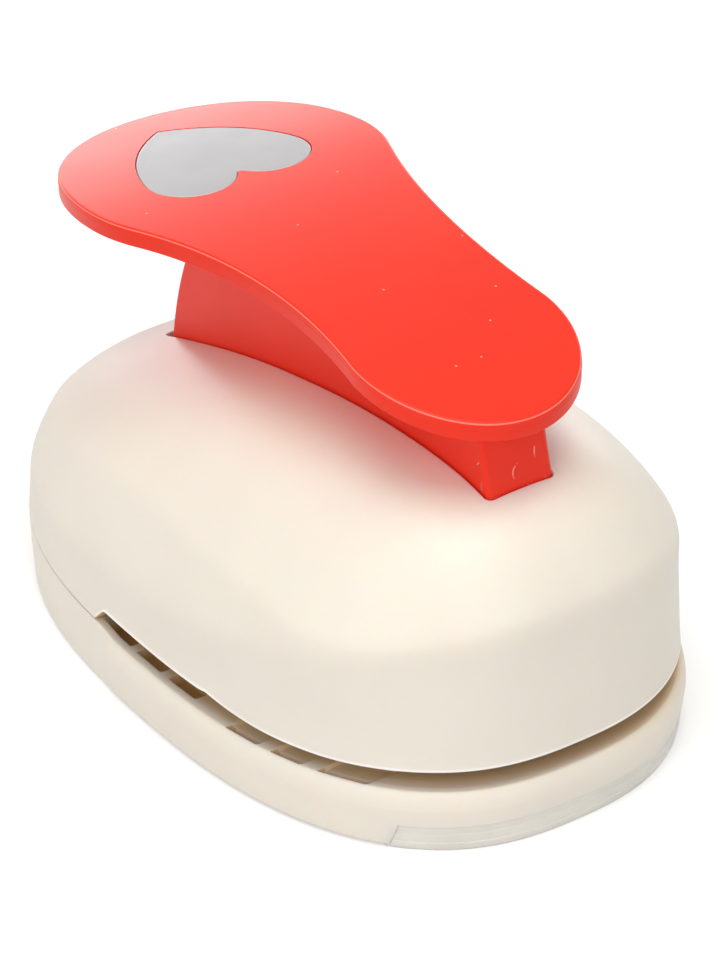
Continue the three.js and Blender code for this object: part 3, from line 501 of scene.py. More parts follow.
def settle(piece):
    """The evaluated mesh in place of the modifiers."""
    evaluated = piece.evaluated_get(bpy.context.evaluated_depsgraph_get())
    mesh = bpy.data.meshes.new_from_object(evaluated)
    piece.modifiers.clear()
    old, piece.data = piece.data, mesh
    mesh.name = old.name
    bpy.data.meshes.remove(old)
    return piece


def carve(piece, operation, *cutters):
    """Joins or cuts a piece with closed meshes, one after another."""
    for cutter in cutters:
        tool = raw_object("tool", cutter) if isinstance(cutter, tuple) else cutter
        boolean = piece.modifiers.new("Carve", "BOOLEAN")
        boolean.operation = operation
        boolean.solver = "EXACT"
        boolean.object = tool
        settle(piece)
        bpy.data.objects.remove(tool)
    return piece


def smooth(piece, angle):
    """Smooth shading with sharp edges kept, weighted to the larger faces."""
    piece.data.shade_smooth()
    piece.data.set_sharp_from_angle(angle=math.radians(angle))
    weighted = piece.modifiers.new("Weighted normals", "WEIGHTED_NORMAL")
    weighted.keep_sharp = True
    return piece


def dress(piece, material, body, slot, *nodes):
    """Material, body and slot of a finished piece, and the nodes that it stands for."""
    if not len(piece.data.polygons):
        raise RuntimeError(f"{piece.name} has no faces")
    if material:
        piece.data.materials.clear()
        piece.data.materials.append(material)
    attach(piece, body)
    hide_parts(*nodes)


def paint(piece, material, faces):
    """Gives some faces of a piece a material of their own."""
    piece.data.materials.append(material)
    index = len(piece.data.materials) - 1
    for face in faces:
        piece.data.polygons[face].material_index = index


# Housing


def shoulder_at(y, body):
    """Height of the shoulder line."""
    along = y / body.half_length
    return body.shoulder_height - body.shoulder_rake * along + body.shoulder_bow * along**2


def dome_at(x, y, inset, drop, body):
    """Height of the dome over a plan point."""
    across = np.abs(x) / (body.half_width - inset - body.draft)
    along = np.abs(y) / (body.half_length - inset - body.draft)
    reach = np.clip((across**body.power + along**body.power) ** (1 / body.power), 0, 1)
    rise = (1 - reach**body.crown_power) ** (1 / body.crown_softness)
    t = y / body.half_length
    crown = body.crown_height - body.crown_rake * t - body.crown_bow * t**2
    crown = crown + body.crown_twist * t**3 + body.crown_ends * t**4
    shoulder = shoulder_at(y, body)
    return shoulder + (crown - shoulder) * rise - drop


def eased(ratio):
    """A share that is kept between 0 and 1 and starts and ends softly."""
    ratio = np.clip(ratio, 0, 1)
    return ratio**2 * (3 - 2 * ratio)


# Samples of the lower edge: counts, distance, softening and how they crowd at the notch.
BACK_STEPS = 1200
FRONT_STEPS = 2399
NOTCH_END_STEPS = 30
EDGE_SAMPLE = 0.0001
EDGE_SPREAD = 4
LEAST_STEP = 1e-9
CROWDING = 2
CROWD_WIDTH_SHARE = 3


def throat_rise(y, body):
    """How far the housing's edge over the throat lies above its plain height."""
    step = np.clip((body.lift_place + body.lift - y) / body.lift, 0, 1)
    fall = 1 - (1 - np.clip((body.lift_place - y) / body.fall_length, 0, 1)) ** 2
    mouth = eased((body.mouth_place - y) / body.mouth_length)
    return body.lift * step - body.fall * fall + body.mouth * mouth


def lower_edge(body, count):
    """Distance along the outline, height and lean of the housing's lower edge, back to front."""
    radius = body.notch_radius
    arc_z = body.throat - radius
    bend = math.sqrt(0.5)
    arc_y = body.notch - (arc_z + radius * bend - body.seam) - radius * bend
    ramp = arc((arc_y, arc_z), radius, 45, 90, NOTCH_END_STEPS)
    back = np.linspace(0, turn_at(body.notch, body), BACK_STEPS)
    front = after(turn_at(arc_y, body), math.pi, FRONT_STEPS)
    turns = np.concatenate([back, [turn_at(y, body) for y, _ in ramp], front])
    heights = np.concatenate([
        np.full(len(back), body.seam),
        [z for _, z in ramp],
        body.throat + throat_rise(body_point(front, 0, body)[1], body),
    ])
    along = reaches(np.column_stack(body_point(turns, 0, body)))
    reach = reaches(np.column_stack([along, heights]))
    even = np.arange(0, reach[-1], EDGE_SAMPLE)
    along = np.interp(even, reach, along)
    heights = soften(np.interp(even, reach, heights)[:, None], EDGE_SPREAD)[:, 0]
    places = body_point(np.interp(along, *outline_reach(math.pi, body)), 0, body)[1]
    crowd = 1 + CROWDING * np.exp(-(((places - arc_y) / (CROWD_WIDTH_SHARE * radius)) ** 2))
    crowd = np.concatenate([[0], np.cumsum(crowd)])[:-1]
    index = np.arange(len(even))
    pick = np.interp(np.linspace(0, crowd[-1], count), crowd, index)
    lean = np.arctan(np.gradient(heights) / np.maximum(np.gradient(along), LEAST_STEP))
    return [np.interp(pick, index, values) for values in (along, heights, lean)]


def soften(points, spread):
    """Points of a line after a bell-shaped average, with both ends kept."""
    half = int(3 * spread)
    bell = np.exp(-0.5 * (np.arange(-half, half + 1) / spread) ** 2)
    bell /= bell.sum()
    head = 2 * points[0] - points[half:0:-1]
    tail = 2 * points[-1] - points[-2 : -half - 2 : -1]
    padded = np.concatenate([head, points, tail])
    return np.column_stack([np.convolve(column, bell, "valid") for column in padded.T])


def slot_outline(lever, grow, count):
    """Half outline of the lever's slot, from the middle of its back to the middle of its front."""
    half = lever.stem_half + lever.slot_gap
    back = PIVOT_Y + math.sqrt((lever.stem_back + lever.slot_back) ** 2 - (lever.slot_level - PIVOT_Z) ** 2)
    front = lever.stem_front - lever.slot_front
    radius = lever.stem_corner + GAP
    left = np.array([
        (0, back + grow),
        *arc((radius - half, back - radius), radius + grow, 90, 180, SLOT_CORNER_STEPS),
        *arc((radius - half, front + radius), radius + grow, 180, 270, SLOT_CORNER_STEPS),
        (0, front - grow),
    ])
    return along_line(left, np.linspace(0, reaches(left)[-1], count))


def on_dome(plan, inset, drop, body):
    """Plan points, lifted onto the dome."""
    x, y = plan.T
    return np.column_stack([x, y, dome_at(x, y, inset, drop, body)])


def inward_shares(count):
    """Shares of the way from the rim to the slot, close together at the rim."""
    return 1 - np.cos(after(0, math.pi / 2, count))


def housing_column(turn_low, turn_top, height, slot_point, body):
    """Outer line of the housing over one place, from its lower edge to the slot."""
    share_up = np.linspace(0, 1, WALL_POINTS)
    turns = turn_low + (turn_top - turn_low) * eased(share_up)
    shoulder = shoulder_at(body_point(turns, body.draft, body)[1], body)
    z = height + (shoulder - height) * share_up
    inset = body.draft * (z - body.seam) / (shoulder - body.seam)
    rim = np.array(body_point(turn_top, body.draft, body))
    plan = rim + (slot_point - rim) * inward_shares(DOME_POINTS)[:, None]
    return body_ring(turns, inset, z, body), on_dome(plan, 0, 0, body)


# Counts of steps and rings of the housing, and the distance of samples up its side.
EDGE_STEPS = 4
SLOT_CORNER_STEPS = 12
WALL_POINTS = 40
DOME_POINTS = 160
SKIN_SAMPLE = 0.0004
SHOULDER_BAND_SHARE = 3
WALL_RINGS = 7
SHOULDER_RINGS = 13
DOME_RINGS = 59
INNER_DOME_RINGS = 19
INNER_WALL_RINGS = 7
CREASE_PLACE_SHARES = (-0.97, -0.83, -0.73, -0.59, -0.37, -0.18, 0.08, 0.35, 0.6, 1)
CREASE_HEIGHT_SHARES = (0.779, 0.714, 0.692, 0.686, 0.726, 0.73, 0.724, 0.666, 0.573, 0.506)


def creased(points, body):
    """A line up the housing, swollen to a crease between wall and dome."""
    reach = reaches(points)
    level = np.interp(points[:, 1] / body.half_length, CREASE_PLACE_SHARES, CREASE_HEIGHT_SHARES)
    crease = reach[np.argmax(points[:, 2] > level * body.crown_height)]
    swelling = body.crease_depth * np.clip(1 - np.abs(reach - crease) / body.crease_width, 0, 1) ** 2
    inward = points[-1, :2] - points[0, :2]
    inward /= np.hypot(*inward)
    slope = np.gradient(points, axis=0)
    slope /= np.linalg.norm(slope, axis=1)[:, None]
    outward = np.concatenate([-inward * slope[:, 2:], (slope[:, :2] @ inward)[:, None]], 1)
    return points + outward * swelling[:, None]


def skin_line(line, wall_reach, body):
    """Softened points of a line up the housing: few on the wall, many over the shoulder and the dome."""
    total = reaches(line)[-1]
    even = along_line(line, np.linspace(0, total, int(total / SKIN_SAMPLE) + 1))
    soft = soften(creased(even, body), body.shoulder_round / SKIN_SAMPLE)
    band = SHOULDER_BAND_SHARE * body.shoulder_round
    low, high = wall_reach - band, wall_reach + band
    places = [
        [body.highlight_height],
        after(0, low, WALL_RINGS),
        after(low, high, SHOULDER_RINGS),
        after(high, total, DOME_RINGS),
    ]
    return along_line(soft, np.concatenate(places))


def housing_rings(body, lever):
    """Rings of the left half of the housing, out and over the top, through the slot and back inside."""
    count = body.columns // 2 + 1
    low_along, low_height, lean = lower_edge(body, count)
    reach, dense = outline_reach(math.pi, body)
    top_turns = np.interp(np.linspace(0, reach[-1], count), reach, dense)
    edge_round = [
        (body.edge * (1 - math.sin(angle)), body.edge * (1 - math.cos(angle)))
        for angle in np.radians(np.linspace(90, 0, EDGE_STEPS + 1))
    ]
    round_back = edge_round[-2::-1]

    def edge_ring(offset, inset):
        """Ring beside the lower edge: offset lies in the wall's surface, inset goes inward."""
        turns = np.interp(np.clip(low_along - np.sin(lean) * offset, 0, reach[-1]), reach, dense)
        return turns, body_ring(turns, inset, low_height + np.cos(lean) * offset, body)

    rings = [edge_ring(offset, inset)[1] for offset, inset in edge_round]
    start_turns, start = edge_ring(body.edge, 0)
    slot = slot_outline(lever, body.edge, count)
    columns = []
    for i in range(count):
        wall, dome = housing_column(start_turns[i], top_turns[i], start[i, 2], slot[i], body)
        columns.append(skin_line(np.concatenate([wall, dome]), reaches(wall)[-1], body))
    rings += list(np.stack(columns, 1))
    rings += [on_dome(slot_outline(lever, grow, count), 0, fall, body) for grow, fall in round_back]
    slot = slot_outline(lever, 0, count)
    rings.append(on_dome(slot, body.wall, body.wall, body))
    rim = np.column_stack(body_point(top_turns, body.wall + body.draft, body))
    for inward in [*inward_shares(INNER_DOME_RINGS)[-2::-1], 0]:
        rings.append(on_dome(rim + (slot - rim) * inward, body.wall, body.wall, body))
    low_turns, low = edge_ring(body.edge, body.wall)
    shoulder = shoulder_at(rim[:, 1], body) - body.wall
    for down in after(0, 1, INNER_WALL_RINGS):
        turns = top_turns + (low_turns - top_turns) * down
        heights = shoulder + (low[:, 2] - shoulder) * down
        rings.append(body_ring(turns, body.wall + body.draft * (1 - down), heights, body))
    return rings + [edge_ring(offset, body.wall - inset)[1] for offset, inset in round_back]


def mirrored(ring):
    """Whole ring from its left half."""
    right = ring[-2:0:-1].copy()
    right[:, 0] *= -1
    left = ring.copy()
    left[[0, -1], 0] = 0
    return np.concatenate([left, right])


CORNERS = [f"{end}_{side}" for end in ("front", "rear") for side in ("left", "right")]
CASE_SCREWS = [f"case_screw_{name}" for name in ("side_left", "side_right", "rear_left", "rear_right")]
DIE_SCREWS = [f"die_screw_{corner}" for corner in CORNERS]
BRACKET_SCREWS = [f"bracket_screw_{corner}" for corner in CORNERS]
BLADE_SCREWS = [f"blade_screw_{name}" for name in ("left", "right", "rear")]
SPRINGS = [f"return_spring_{corner}" for corner in CORNERS]
FEET = [f"rear_foot_{side}" for side in ("left", "right")]


def middle_of(node):
    """Centre of a packed part, from the body's middle."""
    low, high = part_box(node)
    return (low + high) / 2 - Vector((0, MIDDLE, 0))


def turned(node, profile, sides):
    """Rings of an upright turned body on the middle of a packed part, from radii and heights."""
    x, y, _ = middle_of(node)
    return [[(a, b, z) for a, b in circle(x, y, radius, sides)] for radius, z in profile]


def drums(nodes, radius, low, high):
    """Closed upright cylinders on the middles of some packed parts."""
    return [capped(turned(node, [(radius, low), (radius, high)], DRUM_SIDES), disc) for node in nodes]


def join(piece, other):
    """Adds another object's mesh to a piece."""
    bm = bmesh.new()
    for source in (piece, other):
        bm.from_mesh(source.data)
    bm.to_mesh(piece.data)
    bm.free()
    bpy.data.objects.remove(other)


def build_housing(body, tray, lever, screws):
    """Cream cover with its soft shoulder, slot and throat."""
    rings = [mirrored(ring) for ring in housing_rings(body, lever)]
    shell = raw_object("housing", loft(rings, closed=True))
    low, high = tray.ledge + GAP, body.crown_height
    outer, inner = screws.case_boss, screws.shank + GAP
    bosses = []
    for node in CASE_SCREWS:
        profile = [(outer, low), (outer, high), (inner, high), (inner, low)]
        points, faces = loft(turned(node, profile, DRUM_SIDES), closed=True)
        x, y, z = points.T
        roof = dome_at(x, y, body.wall, body.wall, body) + body.wall / 2
        bosses.append((np.column_stack([x, y, np.where(z > low, roof, z)]), faces))
    join(shell, raw_object("bosses", merged(*bosses)))
    smooth(shell, CURVED_ANGLE)
    dress(shell, cream_moulding(body), "base", "cream", "upper_housing")
    count = len(rings[0])
    in_throat = [i for i in range(count) if rings[0][i][2] > body.seam + body.edge]
    # Painted shade: the rows under the housing's edge get the tan shade, which behind the throat is the
    # seam's dark joint.
    underside = (*range(EDGE_STEPS - 1), len(rings) - 1)
    paint(shell, inner_shade(), ring_faces(underside, range(count), count))
    # Painted highlight: the rows along the throat's edge get a bright line.
    paint(shell, polished_line(), ring_faces((EDGE_STEPS - 1, EDGE_STEPS), in_throat, count))


# Base


def front_share(y, tray, body):
    """How far the front lip has grown at a place along the body."""
    return eased((body.notch - y) / tray.blend)


LIP_STEPS = 14
REAR_STEPS = 4
RIM_STEPS = 4
GRIP_STEPS = 120
WALL_NORMAL = 0.9
TOP_BAND_SHARE = 0.125


def tray_rows(tray, body):
    """Rows of the base's wall: height and inset in front, height and inset behind."""
    foot = tray.floor_gap + tray.chamfer
    rows = [
        (tray.floor_gap, tray.chamfer, tray.floor_gap, tray.draft + tray.chamfer),
        (foot, 0, foot, tray.draft),
        (tray.edge_height, -tray.lip, tray.edge_height, 0),
    ]
    rise = tray.ledge - tray.edge_height
    straight = body.seam - GAP - body.edge - tray.edge_height
    for step in range(1, LIP_STEPS + 1):
        turn = math.radians(90 * step / LIP_STEPS)
        bend = math.radians(90 * max(0, step - LIP_STEPS + REAR_STEPS) / REAR_STEPS)
        up = min(1, step / (LIP_STEPS - REAR_STEPS))
        rows.append((
            tray.edge_height + rise * math.sin(turn),
            tray.lip_inward - (tray.lip + tray.lip_inward) * math.cos(turn),
            tray.edge_height + straight * up + body.edge * math.sin(bend),
            body.edge * (1 - math.cos(bend)),
        ))
    return rows


def tray_block(tray, body):
    """Closed outer block of the base."""
    turns = even_turns(body.columns, body)
    share_front = front_share(body_point(turns, 0, body)[1], tray, body)
    rings = []
    for front_z, front_inset, rear_z, rear_inset in tray_rows(tray, body):
        inset = rear_inset + (front_inset - rear_inset) * share_front
        rings.append(body_ring(turns, inset, rear_z + (front_z - rear_z) * share_front, body))
    return capped(rings, ribbon)


def body_block(inset, low, high, body):
    """Closed upright block on the body's outline."""
    return prism(np.column_stack(body_point(even_turns(BLOCK_SIDES, body), inset, body)), low, high)


def pocket(side, ends, inset, width, depth, tray, body):
    """Cutter of one pocket with a softened rim."""
    low, high = (end * body.half_length for end in ends)
    edge = tray.pocket_edge
    rim = tray.ledge - edge
    rows = [(-tray.pocket_draft, tray.ledge - depth), (0, rim)]
    rows += [(edge + a, rim + b) for a, b in arc((0, 0), edge, 180, 90, RIM_STEPS)[1:]]
    rows.append((edge, tray.ledge + OVERRUN))
    rings = []
    for grow, z in rows:
        corners = (low - grow, inset - grow), (high + grow, inset + width + grow)
        outline = rounded_rectangle(*corners, tray.pocket_corner + grow)
        rings.append([(side * float(half_width_at(y, w, body)), y, z) for y, w in outline])
    return capped(rings, disc)


def pockets(places, *sizes):
    """Cutters of one row of pockets on both sides, from inset, width, depth and the settings."""
    return [pocket(side, ends, *sizes) for side in (-1, 1) for ends in places]


DEEP_POCKET_SHARES = [(0.05, 0.178), (-0.09, 0.022), (-0.238, -0.122)]
SHALLOW_POCKET_SHARES = [(-0.485, -0.379), (-0.615, -0.527), (-0.776, -0.657)]


def pocket_part(face, tray, body):
    """What a face of the base is: deep place, outer wall of a shallow pocket, outer rim or none of them."""
    x, y, z = face.center
    along = (y - MIDDLE) / body.half_length
    inset = half_width_at(y - MIDDLE, 0, body) - abs(x)
    edge = tray.pocket_edge
    if not tray.ledge - tray.deep_depth - OVERRUN < z < tray.ledge - edge * TOP_BAND_SHARE:
        return None
    if any(low <= along <= high for low, high in DEEP_POCKET_SHARES):
        if z > tray.ledge - edge:
            return "rim" if abs(inset - tray.deep_inset + edge / 2) < edge else None
        return "deep" if tray.deep_inset - GAP < inset < tray.deep_inset + tray.pocket_width + GAP else None
    if any(low <= along <= high for low, high in SHALLOW_POCKET_SHARES):
        if z < tray.ledge - tray.shallow_depth - edge:
            return "deep" if 0 < inset - tray.shallow_inset + edge < tray.gutter_width + GAP else None
        outer = abs(inset - tray.shallow_inset) < tray.pocket_draft + edge
        return "wall" if outer and abs(face.normal.z) < WALL_NORMAL and face.normal.x * x < 0 else None
    return None


def plate_outline(grow, dies):
    """Outline of the plates, from the named corners."""
    right = [
        (dies.nose_across + grow, dies.plate_front - grow),
        (dies.side_across + grow, dies.nose_along - grow),
        (dies.side_across + grow, dies.side_along + grow),
        (dies.rear_across + grow, dies.taper_along + grow),
        (dies.rear_across + grow, dies.plate_rear + grow),
    ]
    return right + [(-x, y) for x, y in reversed(right)]


def front_sweep(section, half, steps, tray, body):
    """Closed strip that carries a section of insets and heights along the body's front."""
    rings = []
    for x in np.linspace(-half, half, steps + 1):
        ring = []
        for inset, z in section:
            splayed = x * (1 + tray.grip_splay * (1 - max(z, 0) / tray.grip_height))
            ring.append((splayed, -float(half_length_at(splayed, inset, body)), z))
        rings.append(ring)
    return capped(rings, disc)


def build_tray(body, tray, dies, screws):
    """Cream base with its soft lip, ledge, pockets and hollow underside."""
    base = raw_object("tray", tray_block(tray, body))
    hollow = raw_object("hollow", body_block(tray.wall, -OVERRUN, tray.deck, body))
    foot_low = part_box(FEET[0])[1].z + GAP
    head_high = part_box(CASE_SCREWS[0])[0].z + screws.head_height + GAP
    carve(
        hollow,
        "DIFFERENCE",
        *drums(FEET, screws.foot_boss, foot_low, tray.ledge),
        *drums(CASE_SCREWS, screws.tray_boss, head_high, tray.ledge),
    )
    wall, flange, high = (size + GAP for size in (tray.grip_wall, tray.grip_flange, tray.grip_height))
    out = -OVERRUN
    grip_gap = [(out, out), (out, high), (wall, high), (wall, wall), (flange, wall), (flange, out)]
    deep_sizes = (tray.deep_inset, tray.pocket_width, tray.deep_depth, tray, body)
    shallow_sizes = (tray.shallow_inset, tray.shallow_width, tray.shallow_depth, tray, body)
    gutter_sizes = (tray.shallow_inset + tray.pocket_edge, tray.gutter_width, tray.gutter_depth, tray, body)
    carve(
        base,
        "DIFFERENCE",
        hollow,
        body_block(tray.wall, tray.ledge, body.seam + OVERRUN, body),
        prism(plate_outline(GAP, dies), tray.bed, body.seam + OVERRUN),
        prism(heart_outline(dies.cut_width, dies.cut_front, dies.chute_gap), -OVERRUN, body.seam),
        merged(*pockets(DEEP_POCKET_SHARES, *deep_sizes), *pockets(SHALLOW_POCKET_SHARES, *shallow_sizes)),
        front_sweep(grip_gap, tray.grip_half + GAP, GRIP_STEPS // 2, tray, body),
        merged(*drums(CASE_SCREWS + DIE_SCREWS, screws.shank + GAP, 0, body.seam)),
        merged(*drums(DIE_SCREWS, screws.head + GAP, 0, tray.deck)),
        merged(*pockets(SHALLOW_POCKET_SHARES, *gutter_sizes)),
    )
    smooth(base, PLAIN_ANGLE)
    dress(base, cream_moulding(body), "base", "cream", "base_tray")
    # Painted shade in the deep pockets, the grooves and on the shallow pockets' outer walls; painted
    # highlight on the deep pockets' outer rims.
    parts = [pocket_part(face, tray, body) for face in base.data.polygons]
    for kind, material in (("deep", pocket_shade(tray)), ("wall", inner_shade()), ("rim", polished_line())):
        paint(base, material, [i for i, part in enumerate(parts) if part == kind])


GRIP_STEP_SHARES = [0.34, 0.7]


def build_grip(body, tray):
    """Soft strip round the base's front lower edge."""
    edge = tray.pocket_edge
    foot = tray.floor_gap + tray.chamfer
    lean = tray.lip / (tray.edge_height - foot)
    high = tray.grip_height

    def outside(z):
        """Inset of the base's wall at a height."""
        return -lean * (z - foot)

    steps = []
    depth = 0
    for share_up in GRIP_STEP_SHARES:
        z = high * share_up
        steps += [(outside(z) + depth, z), (outside(z) + depth + tray.grip_step, z + tray.grip_step)]
        depth += tray.grip_step
    section = [
        (tray.grip_flange, tray.grip_wall),
        (tray.grip_flange, 0),
        (tray.chamfer, 0),
        (0, foot),
        *steps,
        (outside(high - edge) + depth, high - edge),
        (outside(high) + depth + edge / 3, high - edge / 3),
        (outside(high) + depth + edge, high),
        (tray.grip_wall, high),
        (tray.grip_wall, tray.grip_wall),
    ]
    strip = raw_object("grip", front_sweep(section, tray.grip_half, GRIP_STEPS, tray, body))
    smooth(strip, CURVED_ANGLE)
    dress(strip, soft_vinyl(), "base", "grip", "front_grip")


def build_feet(tray):
    """Rubber feet with a rounded tread and a sunk middle."""
    low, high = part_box(FEET[0])
    radius = (high.x - low.x) / 2
    edge = tray.chamfer
    profile = [(radius / 2, edge / 2), (radius / 2 + edge, 0), (radius - edge, 0)]
    profile += [(radius - edge + a, edge - b) for a, b in arc((0, 0), edge, 90, 0, CORNER_STEPS)]
    profile += [(radius, high.z - edge / 2), (radius - edge / 2, high.z)]
    feet = raw_object("feet", merged(*(capped(turned(node, profile, FOOT_SIDES), disc) for node in FEET)))
    smooth(feet, PLAIN_ANGLE)
    dress(feet, dark_rubber(), "base", "rubber", *FEET)


# Lever


NARROW_STEPS = 40
WAIST_STEPS = 36
WIDE_STEPS = 56
LOW_STEPS = 4
LINE_ROWS = 3
TOP_STEPS = 9
STEM_ARC_STEPS = 30
STEM_TOP_STEPS = 12
STEM_CORNER_STEPS = 9
BAND = 0.0025
BEVEL_STEPS = 4
BEVEL_NORMALS = (0.3, 0.95)


def lever_top(y, lever):
    """Height of the plate's top at a place along the lever."""
    return lever.top - (y - lever.crest) ** 2 / (2 * lever.bow)


def oval(y, lever):
    """Place along the plate once its two ends are drawn out."""
    if y > lever.wide_place:
        return lever.wide_place + (y - lever.wide_place) * lever.wide_stretch
    if y < lever.narrow_place:
        return lever.narrow_place + (y - lever.narrow_place) * lever.narrow_stretch
    return y


def lever_outline(lever, inset):
    """Anticlockwise outline of the plate, from its back tip."""
    wide = lever.wide_radius + lever.waist_radius
    narrow = lever.narrow_radius + lever.waist_radius
    between = lever.wide_place - lever.narrow_place
    waist_y = lever.narrow_place + (narrow**2 - wide**2 + between**2) / (2 * between)
    waist_x = math.sqrt(wide**2 - (lever.wide_place - waist_y) ** 2)
    wide_turn = math.degrees(math.atan2(waist_y - lever.wide_place, waist_x))
    narrow_turn = math.degrees(math.atan2(waist_y - lever.narrow_place, waist_x))
    waist = (narrow_turn + 180, wide_turn + 180, WAIST_STEPS)
    right = (
        arc((0, lever.narrow_place), lever.narrow_radius - inset, -90, narrow_turn, NARROW_STEPS)[:-1]
        + arc((waist_x, waist_y), lever.waist_radius + inset, *waist)[:-1]
        + arc((0, lever.wide_place), lever.wide_radius - inset, wide_turn, 90, WIDE_STEPS)
    )
    right = [(x, oval(y, lever)) for x, y in right]
    left = [(-x, y) for x, y in right[-2:0:-1]]
    return [(0, right[-1][1])] + left + [(0, right[0][1])] + right[1:-1]


def lever_plate(lever):
    """Closed bowed plate with soft edges and a fine line round its side."""
    low, top = lever.edge_low, lever.edge_top
    drop = lever.parting_drop
    line = 2 * lever.parting
    rows = [(low + a, lever.thickness - low - b) for a, b in arc((0, 0), low, 270, 180, LOW_STEPS)]
    rows += [(0, drop + line), (-lever.parting, drop), (0, drop - line)]
    rows += [(top + a, top - b) for a, b in arc((0, 0), top, 180, 90, TOP_STEPS)]
    rings = [
        [(x, y, lever_top(y, lever) - fall) for x, y in lever_outline(lever, inset)] for inset, fall in rows
    ]
    return capped(rings, ribbon)


def stem_front_heights(lever):
    """Top of the stem's front face, and the height where it starts to lean."""
    high = lever_top(lever.stem_front + lever.stem_lean, lever) - lever.thickness / 2
    return high, lever.stem_front_low + (high - lever.stem_front_low) * lever.stem_lean_share


def stem_profile(lever, inset):
    """Side view of the stem at a layer that is set in from its sides."""
    radius = lever.stem_back - inset
    buried = lever.thickness / 2
    heights = (lever.stem_back_low, lever_top(lever.wide_place, lever) - buried)
    turns = [math.degrees(math.asin((z - PIVOT_Z) / radius)) for z in heights]
    back = arc((PIVOT_Y, PIVOT_Z), radius, *turns, STEM_ARC_STEPS)
    front = lever.stem_front + inset
    tops = [
        (y, lever_top(y, lever) - buried)
        for y in after(back[-1][0], front + lever.stem_lean, STEM_TOP_STEPS)
    ]
    return [
        (front, lever.stem_front_low),
        (PIVOT_Y - lever.boss_radius, PIVOT_Z),
        (PIVOT_Y + lever.boss_radius, lever.stem_middle_low),
        (ROLLER_Y + lever.nose_radius, lever.stem_middle_low),
        *back,
        *tops,
        (front, stem_front_heights(lever)[1]),
    ]


def stem_block(lever):
    """Closed stem with round corners."""
    corner = lever.stem_corner
    layers = [
        (lever.stem_half - corner + a, corner - b) for a, b in arc((0, 0), corner, 90, 0, STEM_CORNER_STEPS)
    ]
    rows = [(-x, inset) for x, inset in reversed(layers)] + layers
    return capped([[(x, y, z) for y, z in stem_profile(lever, inset)] for x, inset in rows], disc)


def on_lever(solid, lever):
    """A flat solid, cut into bands and bowed like the top of the lever."""
    bm = bmesh.new()
    points = [bm.verts.new(p) for p in solid[0]]
    for face in solid[1]:
        bm.faces.new([points[i] for i in face])
    places = [p[1] for p in solid[0]]
    for y in np.arange(min(places) + BAND, max(places), BAND):
        everything = bm.verts[:] + bm.edges[:] + bm.faces[:]
        bmesh.ops.bisect_plane(bm, geom=everything, plane_co=(0, y, 0), plane_no=(0, 1, 0))
    for point in bm.verts:
        point.co.z += lever_top(point.co.y, lever)
    bm.verts.index_update()
    bowed = [tuple(v.co) for v in bm.verts], [tuple(v.index for v in f.verts) for f in bm.faces]
    bm.free()
    return bowed


def heart_solid(lever, grow, rows):
    """Closed heart under the lever's top, from rows of insets and drops."""
    front = lever.wide_place - lever.inlay_setback
    rings = [
        [(x, y, -fall) for x, y in heart_outline(lever.inlay_width, front, grow - inset)]
        for inset, fall in rows
    ]
    return on_lever(capped(rings, disc), lever)


def radius_of(node):
    """Radius of a packed round part that lies across the lever."""
    low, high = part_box(node)
    return (high.z - low.z) / 2


def stem_hollow(lever):
    """Side view of the room inside the stem."""
    wall = lever.stem_wall
    front = lever.stem_front + wall
    radius = lever.stem_back - wall
    high = lever_top(lever.stem_front, lever) - lever.thickness - wall
    turn = math.degrees(math.asin((high - PIVOT_Z) / radius))
    front_top, lean_z = stem_front_heights(lever)
    lean = lever.stem_lean * (high - lean_z) / (front_top - lean_z)
    return [
        (front, lean_z),
        (front, 0),
        (ROLLER_Y + lever.stem_back, 0),
        *arc((PIVOT_Y, PIVOT_Z), radius, 0, turn, STEM_ARC_STEPS),
        (front + lean, high),
    ]


def build_lever(lever):
    """Red lever: bowed plate on a hollow stem, with a recess for the heart."""
    half = lever.stem_half
    arm = raw_object("lever", lever_plate(lever))
    count = len(lever_outline(lever, 0))
    arm.data.materials.append(red_moulding(lever))
    # Painted highlight: two face rows in the middle of the upper round edge get a pale red line.
    highlight_row = LOW_STEPS + LINE_ROWS + TOP_STEPS // 2
    paint(arm, worn_rim(), ring_faces((highlight_row, highlight_row + 1), range(count), count))

    def across(y, z, radius, reach):
        """Cylinder across the stem."""
        return prism_across(circle(y, z, radius, PIN_SIDES), reach)

    carve(
        arm,
        "UNION",
        stem_block(lever),
        across(PIVOT_Y, PIVOT_Z, lever.boss_radius, half),
        across(ROLLER_Y, ROLLER_Z, lever.nose_radius, half),
    )
    carve(
        arm,
        "DIFFERENCE",
        prism_across(stem_hollow(lever), half - lever.stem_wall),
        across(PIVOT_Y, PIVOT_Z, radius_of("hinge_bush_left") + GAP, 2 * half),
        across(ROLLER_Y, ROLLER_Z, radius_of("roller_pin") + GAP, 2 * half),
        heart_solid(lever, lever.inlay_gap, [(0, lever.inlay_depth + GAP), (0, -OVERRUN)]),
    )
    smooth(arm, LEVER_ANGLE)
    dress(arm, None, "lever", "red", "lever_arm")


def build_inlay(lever):
    """Grey heart with a bevelled rim, let into the lever's wide end."""
    edge = lever.inlay_edge
    rows = [(0, lever.inlay_depth)]
    rows += [(edge + a, edge - b) for a, b in arc((0, 0), edge, 180, 90, BEVEL_STEPS)]
    inlay = raw_object("heart_inlay", heart_solid(lever, 0, rows))
    smooth(inlay, LEVER_ANGLE)
    dress(inlay, printed_heart(), "lever", "decal", "heart_decal")
    # Painted highlight: the tilted faces of the bevel get a lighter grey.
    steep, flat = BEVEL_NORMALS
    paint(inlay, printed_rim(), [face.index for face in inlay.data.polygons if steep < face.normal.z < flat])


# Repeated parts


